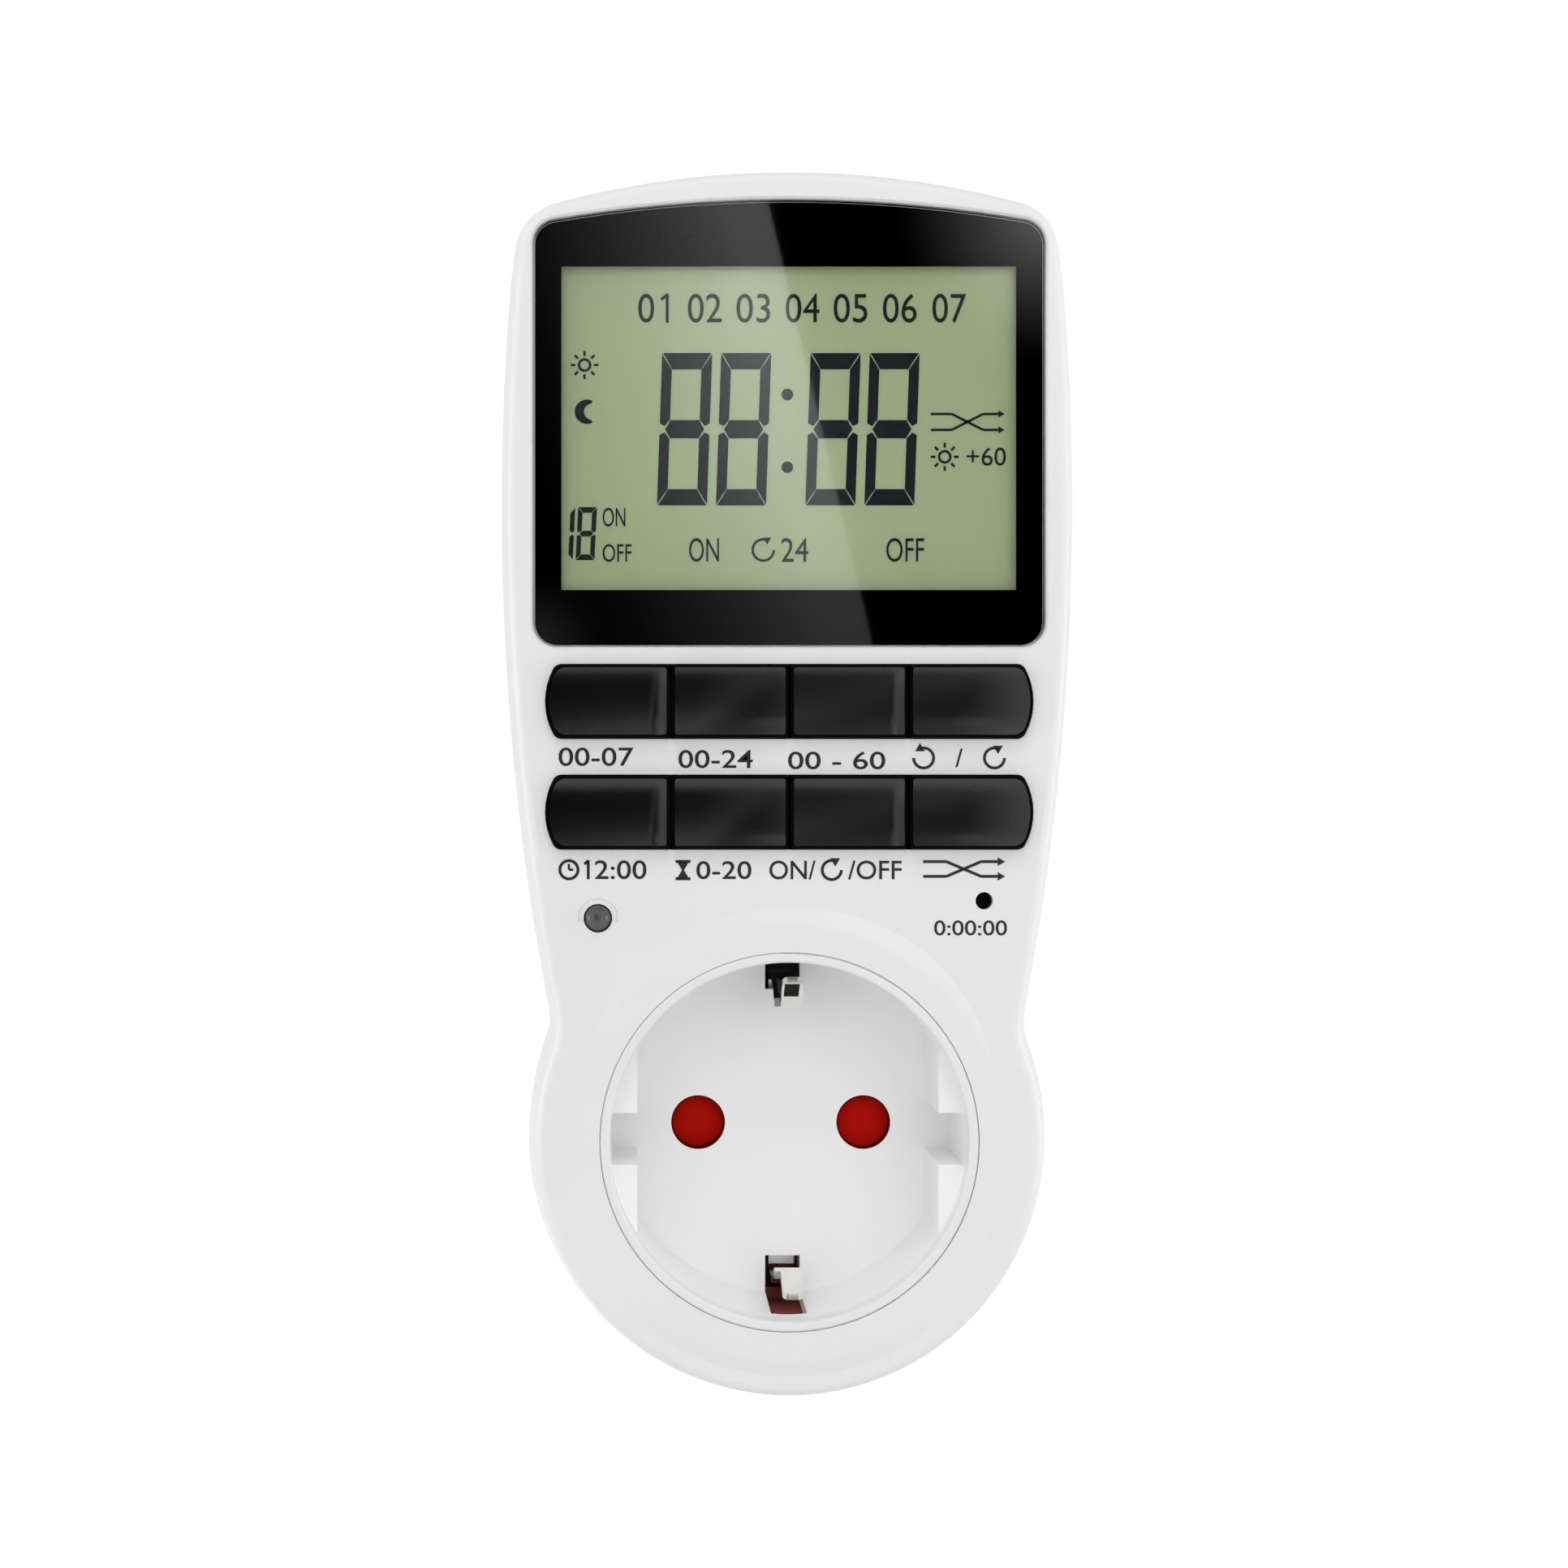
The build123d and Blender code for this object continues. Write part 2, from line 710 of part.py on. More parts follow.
def make_shutter_spring():
    """Wire wound round the pivot, with one leg on the shutter and one on the carrier."""
    coil = Helix(spring_pitch, spring_turns * spring_pitch, spring_radius,
                 center=(0, -spring_top, 0), direction=(0, 1, 0))
    start = Plane(origin=coil @ 0, z_dir=coil % 0)
    spring = sweep(start * Circle(spring_wire_radius), path=coil, is_frenet=True)
    for place, way in ((0, -1), (1, 1)):
        end = Plane(origin=coil @ place, z_dir=(coil % place) * way)
        spring += extrude(end * Circle(spring_wire_radius), amount=spring_leg)
    return spring


def make_contact_carrier():
    plate = Circle(carrier_radius)
    for side in (-1, 1):
        plate -= Pos(slot_shift, side * (slot_inner + carrier_radius) / 2) * Rectangle(
            2 * slot_half_width, carrier_radius - slot_inner + 1)
    carrier = slab(plate, carrier_back, carrier_front)
    sleeve_radius = contact_radius + fit_gap + carrier_sleeve_wall
    for side in (-1, 1):
        carrier += rod(side * pin_spacing / 2, 0, sleeve_radius, sleeve_back, carrier_back + 0.5)
    for side in (-1, 1):
        carrier -= rod(side * pin_spacing / 2, 0, contact_radius + fit_gap, sleeve_back - 1,
                       carrier_front - 0.5)
        carrier -= rod(side * pin_spacing / 2, 0, contact_hole_radius, carrier_front - 1,
                       carrier_front + 1)
    # well for the spring, and a tongue behind the lower earth slot
    carrier -= rod(0, 0, spring_radius + spring_leg, spring_well_floor, carrier_front + 1)
    tongue_z = cup_wall_radius + fit_gap + tab_thickness / 2
    carrier += block(0, -tongue_z, 2 * tab_half, tab_thickness, carrier_back, slot_front)
    carrier += block(0, -(carrier_radius + tongue_z) / 2 - 0.2, 2 * tab_half,
                     tongue_z - carrier_radius + 1.2, carrier_back, carrier_back + 1.5)
    for x, z in carrier_post_spots():
        carrier -= rod(x, z, screw_radius + 0.15, carrier_back - 1, carrier_front + 1)
    return carrier


def make_socket_contact(side):
    """A slit spring sleeve that grips a plug pin."""
    x = side * pin_spacing / 2
    sleeve = rod(x, 0, contact_radius, contact_back, contact_front)
    sleeve -= rod(x, 0, contact_radius - contact_wall, contact_back + 1.0, contact_front + 1)
    sleeve -= block(x, 0, contact_slit, 3 * contact_radius, contact_back + 4.0, contact_front + 1)
    return sleeve


def make_socket_earth_strap():
    """One strip with a clip at each end, which bows in to touch the plug and flares out at its tip.
    The strip has play in its slots: it hangs a little low and to one side in them."""
    middle = strap_front - strap_thickness / 2
    bow = well_floor + clip_rise / 2 - 1.0
    tip = well_floor + clip_rise - 2.5
    points = []
    for side, bow_inset, tip_inset in zip((-1, 1), clip_bow_insets, clip_tip_insets):
        clip = [
            (middle, side * (well_radius - clip_arm_inset)),
            (well_floor - 1.0, side * (well_radius - clip_arm_inset)),
            (bow, side * (well_radius - bow_inset)),
            (tip, side * (well_radius - tip_inset)),
        ]
        points = [*reversed(clip)] if side < 0 else points + clip
    strap = strip(points, 1.0, clip_width, strap_thickness)
    # beyond each bow the tongue is cut back on one side, and its tip is rounded
    cut = clip_width - clip_tongue
    strap -= block(-clip_width / 2, 0, 2 * cut, 3 * well_radius, bow + 0.9, rim_height)
    tips = [e for e in strap.edges().filter_by(Axis.X, reverse=True)
            if e.length < 1.5 * strap_thickness and e.center().Y < -tip + 1.0]
    return Pos(clip_aside, 0, -clip_drop) * fillet(tips, clip_tongue * 0.35)


def make_key(row_z, column):
    left, right = key_limits(column)
    middle = (left + right) / 2
    width = right - left
    inner_ends = Pos(middle, row_z) * RectangleRounded(width, key_height + 2, key_corner * 0.4)
    shape = key_row_outline(row_z) & inner_ends
    cap = slab(shape, key_flange_front - 0.1, key_top)
    top = [e for e in cap.edges() if e.center().Y < -face_height]
    cap = fillet(top, key_edge_radius)
    dish_height = key_top - key_dish_depth + key_dish_radius
    cap -= Pos(0, -dish_height, row_z) * Rot(0, 90, 0) * Cylinder(key_dish_radius, 4 * key_row_half)
    cap += block(middle, row_z, width, key_height + 2 * key_flange, key_flange_back, key_flange_front)
    cap += rod(middle, row_z, key_foot_radius, key_foot_end, key_flange_back)
    return cap


def make_rubber_keypad():
    low = key_rows_z[1] - key_height / 2 - mat_border
    high = key_rows_z[0] + key_height / 2 + 0.2
    mat = block(0, (low + high) / 2, 2 * mat_half, high - low, control_front, mat_front)
    for row_z in key_rows_z:
        for column in range(len(key_splits) + 1):
            base = level(mat_front) * disc(key_centre(column), row_z, dome_radius)
            mat += extrude(base, amount=dome_height, taper=dome_slant)
    return mat


def make_display_lens():
    return slab(lens_outline(), lens_floor + mask_thickness, lens_floor + mask_thickness + lens_thickness)


def make_lens_mask():
    window = Pos(0, (window_bottom + window_top) / 2) * Rectangle(
        2 * window_half, window_top - window_bottom)
    return slab(lens_outline(-mask_inset) - window, lens_floor, lens_floor + mask_thickness)


def make_lcd_glass():
    """Two sheets of glass: the rear one runs on below the front one to carry the contacts."""
    middle = (glass_bottom + glass_top) / 2
    tall = glass_top - glass_bottom
    half = glass_thickness / 2
    glass = block(0, middle, 2 * glass_half, tall, glass_front - glass_thickness, glass_front - half)
    glass += block(0, middle + 0.75, 2 * glass_half, tall - 1.5, glass_front - half, glass_front)
    return glass


def make_lcd_frame():
    middle = (glass_bottom + glass_top) / 2
    tall = glass_top - glass_bottom
    outer = Pos(0, middle) * RectangleRounded(
        2 * (glass_half + fit_gap + frame_wall), tall + 2 * (fit_gap + frame_wall), frame_corner)
    glass_back = glass_front - glass_thickness
    frame = slab(outer, control_front, glass_front - 0.3)
    frame -= block(0, middle, 2 * (glass_half + fit_gap), tall + 2 * fit_gap, glass_back, glass_front)
    frame -= block(0, middle, 2 * (glass_half - frame_ledge), tall - 2 * frame_ledge,
                   control_front - 1, glass_back + 1)
    return frame


def make_zebra_strip():
    z = glass_bottom + frame_ledge + 0.1 + zebra_width / 2
    return block(0, z, 2 * zebra_half, zebra_width, control_front, glass_front - glass_thickness)


def make_control_board():
    shape = housing_outline(-side_wall - board_margin)
    high = glass_top + fit_gap + frame_wall
    keep = Pos(0, (control_board_bottom + high) / 2) * Rectangle(
        4 * widest_half, high - control_board_bottom)
    shape = (shape & keep) - Circle(control_board_cut)
    for x, z in control_post_spots():
        shape -= disc(x, z, screw_radius + 0.2)
    return slab(shape, control_back, control_front)


def make_control_chip():
    """A low dome of black resin over the clock's chip."""
    bulge = (chip_radius ** 2 + chip_depth ** 2) / (2 * chip_depth)
    ball = Pos(0, -(control_back - chip_depth + bulge), chip_z()) * Sphere(bulge)
    return ball & rod(0, chip_z(), chip_radius + 1, control_back - chip_depth - 1, control_back)


def chip_z():
    return glass_bottom + chip_rise


def make_clock_crystal():
    x, z = chip_radius + crystal_step, chip_z()
    can = Pos(x, -(control_back - crystal_radius), z) * Cylinder(crystal_radius, crystal_length)
    return fillet(can.edges(), 0.2)


def make_backup_battery():
    z = chip_z() + battery_rise
    cell = rod(0, z, battery_radius, control_back - battery_depth, control_back)
    return fillet(cell.edges(), 0.6)


def make_reset_button():
    pin = rod(reset_x, reset_z, reset_radius, reset_foot_end, reset_front)
    pin += rod(reset_x, reset_z, reset_flange_radius, reset_flange_front - reset_flange_depth,
               reset_flange_front)
    return pin


def make_reset_switch():
    body_top = switch_top - 0.6
    switch = block(reset_x, reset_z, 4.5, 4.5, control_front, body_top)
    return switch + rod(reset_x, reset_z, 1.1, body_top, switch_top)


def make_status_lamp():
    base = control_front + 0.4
    top = face_height + lamp_proud
    lamp = rod(lamp_x, lamp_z, lamp_radius, base, top - lamp_radius)
    lamp += Pos(lamp_x, -(top - lamp_radius), lamp_z) * Sphere(lamp_radius)
    lamp += rod(lamp_x, lamp_z, lamp_flange_radius, base, base + lamp_flange_depth)
    for side in (-1, 1):
        lamp += block(lamp_x + side * 0.65, lamp_z, 0.5, 0.5, control_front, base + 0.1)
    return lamp


def make_power_board():
    inset = -side_wall - board_margin - 0.4
    keep = Pos(0, (power_board_bottom + power_board_top) / 2) * Rectangle(
        4 * widest_half, power_board_top - power_board_bottom)
    shape = (housing_outline(inset) & keep) - Circle(control_board_cut)
    for x, z in power_post_spots():
        shape -= disc(x, z, screw_radius + 0.2)
    return slab(shape, power_back, power_front)


def boxed_component(place, size, edge):
    wide, tall, high = size
    box = block(*place, wide, tall, power_front, power_front + high)
    return fillet(box.edges().filter_by(Axis.Y) + box.faces().sort_by(Axis.Y)[0].edges(), edge)


def make_filter_capacitors():
    cans = Part()
    groove = Rot(90, 0, 0) * Torus(filter_radius + 0.4 * filter_groove, filter_groove)
    for z in filter_rows_z:
        can = rod(filter_x, z, filter_radius, power_front, power_front + filter_height)
        can = fillet(can.edges().group_by(Axis.Y)[0], 0.5)
        cans += can - Pos(filter_x, -(power_front + 2.0), z) * groove
    return cans


def make_varistor():
    x, z = varistor_place
    middle = power_front + varistor_stand + varistor_radius
    body = Pos(x, -middle, z) * fillet(Cylinder(varistor_radius, varistor_depth).edges(), 1.2)
    for side in (-1, 1):
        body += rod(x + side * varistor_lead_x, z, lead_radius, power_front, middle - 3.0)
    return body


def lying_component(x, z, radius, length, along_x, end_radius):
    """A small round component on two leads that turn down into the board."""
    height = power_front + radius + lying_stand
    turn = Rot(0, 90, 0) if along_x else Rot(0, 0, 0)
    body = Pos(x, -height, z) * turn * fillet(Cylinder(radius, length).edges(), end_radius)
    for side in (-1, 1):
        near = side * (length / 2 - 0.3)
        far = side * (length / 2 + lead_run)
        if along_x:
            lead = [(x + near, height, z), (x + far, height, z), (x + far, power_front, z)]
        else:
            lead = [(x, height, z + near), (x, height, z + far), (x, power_front, z + far)]
        body += wire(lead, lead_bend, lead_radius)
    return body


def make_rectifier_diodes():
    diodes = Part()
    for x in diode_columns_x:
        diodes += lying_component(x, diode_z, diode_radius, diode_length, False, 0.3)
    return diodes


def make_ribbon_cable():
    z = power_board_top - ribbon_inset
    middle = (power_front + control_back) / 2
    points = [
        (power_front, z),
        (power_front + 3.0, z),
        (middle, z - ribbon_bow),
        (control_back - 3.0, z),
        (control_back, z),
    ]
    return strip(points, 2.0, ribbon_width, ribbon_thickness)


def make_neutral_strip():
    """Brass strip from the right pin's stub, up beside the contact sleeve."""
    x = pin_spacing / 2
    side_z = strip_outer - strap_thickness / 2
    seat = pin_head_back + strap_thickness / 2
    points = [(seat, -pin_head_radius + 0.5), (seat, side_z), (sleeve_back - 0.3, side_z)]
    bar = strip(points, neutral_strip_bend, neutral_strip_width, strap_thickness, x)
    return bar - rod(x, 0, pin_shank_radius + 0.02, pin_head_back - 1, pin_head_back + pin_stub + 1)


def make_live_wire():
    """From the left pin's stub, out of the plug and up to the back of the power board."""
    x = -pin_spacing / 2
    start = pin_head_back + pin_stub
    points = [
        (x, start, 0),
        (x, start + live_climb[0], 0),
        (live_foot_x, start + live_climb[1], live_reach[0]),
        (live_foot_x, wire_run, live_reach[1]),
        (live_foot_x, wire_run, wire_foot_z),
        (live_foot_x, power_back, wire_foot_z),
    ]
    return wire(points, (wire_bend, wire_bend, wire_bend, wire_foot_bend), wire_radius)


def make_contact_wire(side, foot_x, start_z):
    """From beside a contact sleeve up to the back of the power board."""
    x = side * pin_spacing / 2
    points = [
        (x, contact_wire_height, start_z),
        (x, contact_wire_height, start_z + contact_wire_lead),
        (foot_x, wire_run, wire_foot_z - contact_wire_foot),
        (foot_x, wire_run, wire_foot_z),
        (foot_x, power_back, wire_foot_z),
    ]
    return wire(points, (2 * wire_bend, 2 * wire_bend, wire_foot_bend), wire_radius)


def make_earth_link():
    """Brass strip that joins the plug's earth strap to the socket's."""
    low = strap_bridge + strap_thickness / 2
    high = strap_front - strap_thickness
    return block(0, 0, earth_strap_width - 1.0, strap_thickness, low, high)


def make_case_screws():
    screws = Part()
    seat = split_height - lip_gap - case_screw_bridge
    for x, z in case_screw_spots():
        head = rod(x, z, case_screw_head_radius, seat - case_screw_head_depth, seat)
        cross = Pos(x, z) * (Rectangle(2.4, 0.6) + Rectangle(0.6, 2.4))
        head -= slab(cross, seat - case_screw_head_depth, seat - case_screw_head_depth + 0.9)
        screws += head + rod(x, z, case_screw_radius, seat, seat + case_screw_length)
    return screws


def make_board_screws():
    screws = Part()
    for x, z in control_post_spots():
        screws += small_screw(x, z, control_back)
    for x, z in ear_spots():
        screws += small_screw(x, z, ear_front - ear_depth)
    for x, z in carrier_post_spots():
        screws += small_screw(x, z, carrier_back)
    for x, z in power_post_spots():
        screws += small_screw(x, z, power_front, towards_front=False)
    return screws


pieces = {
    "front_shell": make_front_shell(),
    "rear_shell": make_rear_shell(),
    "display_lens": make_display_lens(),
    "lens_mask": make_lens_mask(),
    "lcd_glass": make_lcd_glass(),
    "lcd_frame": make_lcd_frame(),
    "zebra_strip": make_zebra_strip(),
    "control_board": make_control_board(),
    "control_chip": make_control_chip(),
    "clock_crystal": make_clock_crystal(),
    "backup_battery": make_backup_battery(),
    "rubber_keypad": make_rubber_keypad(),
    "reset_button": make_reset_button(),
    "reset_switch": make_reset_switch(),
    "status_lamp": make_status_lamp(),
    "socket_cup": make_socket_cup(),
    "safety_shutter": make_safety_shutter(),
    "shutter_spring": make_shutter_spring(),
    "contact_carrier": make_contact_carrier(),
    "socket_contact_left": make_socket_contact(-1),
    "socket_contact_right": make_socket_contact(1),
    "socket_earth_strap": make_socket_earth_strap(),
    "plug_pin_left": make_plug_pin(-1),
    "plug_pin_right": make_plug_pin(1),
    "plug_earth_strap": make_plug_earth_strap(),
    "earth_link": make_earth_link(),
    "neutral_strip": make_neutral_strip(),
    "live_wire": make_live_wire(),
    "load_wire": make_contact_wire(-1, load_foot_x, contact_radius),
    "neutral_wire": make_contact_wire(1, neutral_foot_x, strip_outer),
    "power_board": make_power_board(),
    "relay": boxed_component(relay_place, relay_size, 0.6),
    "film_capacitor": boxed_component(film_capacitor_place, film_capacitor_size, 0.8),
    "filter_capacitors": make_filter_capacitors(),
    "varistor": make_varistor(),
    "fuse_resistor": lying_component(*fuse_place, fuse_radius, fuse_length, True, 0.5),
    "rectifier_diodes": make_rectifier_diodes(),
    "ribbon_cable": make_ribbon_cable(),
    "case_screws": make_case_screws(),
    "board_screws": make_board_screws(),
}
for row, row_z in enumerate(key_rows_z):
    for column in range(len(key_splits) + 1):
        name = ("upper_key_", "lower_key_")[row] + str(column + 1)
        pieces[name] = make_key(row_z, column)

for name, piece in pieces.items():
    export_step(piece, f"parts/{name}.step")
    print(name, "solids", len(piece.solids()), "volume", round(piece.volume, 1))
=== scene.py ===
import json
import math

import bmesh
import bpy
from mathutils import Matrix, Vector


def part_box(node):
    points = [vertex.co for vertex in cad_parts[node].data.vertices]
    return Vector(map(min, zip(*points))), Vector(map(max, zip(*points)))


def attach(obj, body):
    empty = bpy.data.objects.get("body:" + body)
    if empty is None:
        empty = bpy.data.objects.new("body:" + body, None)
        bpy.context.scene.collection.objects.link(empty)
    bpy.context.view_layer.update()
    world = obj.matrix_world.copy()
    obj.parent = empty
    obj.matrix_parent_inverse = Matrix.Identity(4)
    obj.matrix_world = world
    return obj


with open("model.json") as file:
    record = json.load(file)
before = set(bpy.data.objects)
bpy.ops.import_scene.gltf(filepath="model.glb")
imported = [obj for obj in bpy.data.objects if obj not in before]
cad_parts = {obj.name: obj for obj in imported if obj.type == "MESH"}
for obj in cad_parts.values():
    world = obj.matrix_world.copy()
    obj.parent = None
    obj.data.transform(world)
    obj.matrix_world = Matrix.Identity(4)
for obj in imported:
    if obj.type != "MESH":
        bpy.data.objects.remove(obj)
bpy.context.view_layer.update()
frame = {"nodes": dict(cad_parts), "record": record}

# Plug-in timer switch. Metres, front towards -Y, plug pins towards +Y, Z up.
# A height is in millimetres from the plug's end face towards the front.
nodes = frame["nodes"]
mm = 0.001
print("stage: frame loaded,", len(nodes), "nodes")


def frontOf(node):
    # height of a node's foremost point
    return -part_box(node)[0][1] / mm


def newObject(name, data):
    made = bpy.data.objects.new(name, data)
    bpy.context.scene.collection.objects.link(made)
    return made


def meshFrom(name, bm):
    mesh = bpy.data.meshes.new(name)
    bm.to_mesh(mesh)
    bm.free()
    return mesh


# Camera: level, in front of the key rows, shifted so that the object sits left of its axis
cameraValues = {
    "place": (-0.0169, -0.344, 0.0389),
    "tilt": 90,
    "lens": 61.17,
    "sensor": 36.0,
    "shiftX": 0.0958,
    "clipStart": 0.01,
}


def makeCamera(values):
    data = bpy.data.cameras.new("camera")
    data.lens = values["lens"]
    data.sensor_width = values["sensor"]
    data.shift_x = values["shiftX"]
    data.clip_start = values["clipStart"]
    camera = newObject("camera", data)
    camera.location = values["place"]
    camera.rotation_euler = (math.radians(values["tilt"]), 0, 0)
    bpy.context.scene.camera = camera


makeCamera(cameraValues)
bpy.context.scene.view_settings.view_transform = "Standard"
print("stage: camera")


# Small node helpers. Most return the socket that carries their result.
def blankMaterial(name):
    material = bpy.data.materials.new(name)
    material.use_nodes = True
    tree = material.node_tree
    return material, tree, tree.nodes["Principled BSDF"]


def feed(tree, value, socket):
    # a socket takes another socket or a plain number
    if isinstance(value, (int, float)):
        socket.default_value = value
    else:
        tree.links.new(value, socket)


def calc(tree, operation, first, second=0.0):
    node = tree.nodes.new("ShaderNodeMath")
    node.operation = operation
    feed(tree, first, node.inputs[0])
    feed(tree, second, node.inputs[1])
    return node.outputs[0]


def objectPoint(tree, stretch=(1, 1, 1), turn=(0, 0, 0)):
    where = tree.nodes.new("ShaderNodeTexCoord")
    mapping = tree.nodes.new("ShaderNodeMapping")
    mapping.inputs["Scale"].default_value = stretch
    mapping.inputs["Rotation"].default_value = [math.radians(a) for a in turn]
    tree.links.new(where.outputs["Object"], mapping.inputs["Vector"])
    return mapping.outputs["Vector"]


def axes(tree, point):
    split = tree.nodes.new("ShaderNodeSeparateXYZ")
    tree.links.new(point, split.inputs[0])
    return split.outputs


def noiseAt(tree, point, scale, detail=3.0):
    noise = tree.nodes.new("ShaderNodeTexNoise")
    noise.inputs["Scale"].default_value = scale
    noise.inputs["Detail"].default_value = detail
    tree.links.new(point, noise.inputs["Vector"])
    return noise.outputs["Fac"]


noiseSpan = (0.3, 0.7)


def twoTone(tree, noise, colour, darker, paler):
    # a colour that varies with a noise between two shades of itself
    node = tree.nodes.new("ShaderNodeValToRGB")
    for element, place, by in zip(node.color_ramp.elements, noiseSpan, (darker, paler)):
        element.position = place
        element.color = (*(min(1.0, c * by) for c in colour), 1)
    tree.links.new(noise, node.inputs["Fac"])
    return node.outputs["Color"]


def spread(tree, factor, low, high, start=0.0, end=1.0):
    node = tree.nodes.new("ShaderNodeMapRange")
    node.inputs["From Min"].default_value = start
    node.inputs["From Max"].default_value = end
    node.inputs["To Min"].default_value = low
    node.inputs["To Max"].default_value = high
    tree.links.new(factor, node.inputs["Value"])
    return node.outputs["Result"]


def bumpFrom(tree, shader, height, depth):
    bump = tree.nodes.new("ShaderNodeBump")
    bump.inputs["Strength"].default_value = 1.0
    bump.inputs["Distance"].default_value = depth
    tree.links.new(height, bump.inputs["Height"])
    tree.links.new(bump.outputs["Normal"], shader.inputs["Normal"])


mouldedLook = {"glossScale": 2.3, "fineDetail": 2.0}


def moulded(name, values):
    # plastic, rubber or resin: slight mottling, uneven gloss and a fine spark-eroded grain
    material, tree, shader = blankMaterial(name)
    point = objectPoint(tree, values.get("stretch", (1, 1, 1)))
    mottle = noiseAt(tree, point, values["mottleScale"])
    tone = twoTone(tree, mottle, values["colour"], 1 - values["mottle"], 1 + values["mottle"])
    if "inside" in values:
        # painted light: the piece is painted paler towards its inside, standing in for light gathered there;
        # from one height back to another
        start, end, inner = values["inside"]
        back = spread(tree, axes(tree, objectPoint(tree))[1], 0.0, 1.0, -start * mm, -end * mm)
        mix = tree.nodes.new("ShaderNodeMix")
        mix.data_type = "RGBA"
        tree.links.new(back, mix.inputs["Factor"])
        tree.links.new(tone, mix.inputs["A"])
        mix.inputs["B"].default_value = (*inner, 1)
        tone = mix.outputs["Result"]
    tree.links.new(tone, shader.inputs["Base Color"])
    detail = mouldedLook["fineDetail"]
    gloss = noiseAt(tree, point, values["mottleScale"] * mouldedLook["glossScale"], detail)
    tree.links.new(spread(tree, gloss, *values["rough"]), shader.inputs["Roughness"])
    bumpFrom(tree, shader, noiseAt(tree, point, values["grainScale"], detail), values["grainDepth"])
    shader.inputs["Specular IOR Level"].default_value = values.get("specular", 0.5)
    return material


metalTones = (0.88, 1.05)


def metal(name, values):
    # plated or rolled metal: drawn lines along one way, dull patches
    material, tree, shader = blankMaterial(name)
    shader.inputs["Metallic"].default_value = 1.0
    lines = noiseAt(tree, objectPoint(tree, values["stretch"]), values["lineScale"])
    patch = noiseAt(tree, objectPoint(tree), values["patchScale"])
    tree.links.new(twoTone(tree, patch, values["colour"], *metalTones), shader.inputs["Base Color"])
    tree.links.new(spread(tree, patch, *values["rough"]), shader.inputs["Roughness"])
    bumpFrom(tree, shader, lines, values["lineDepth"])
    return material


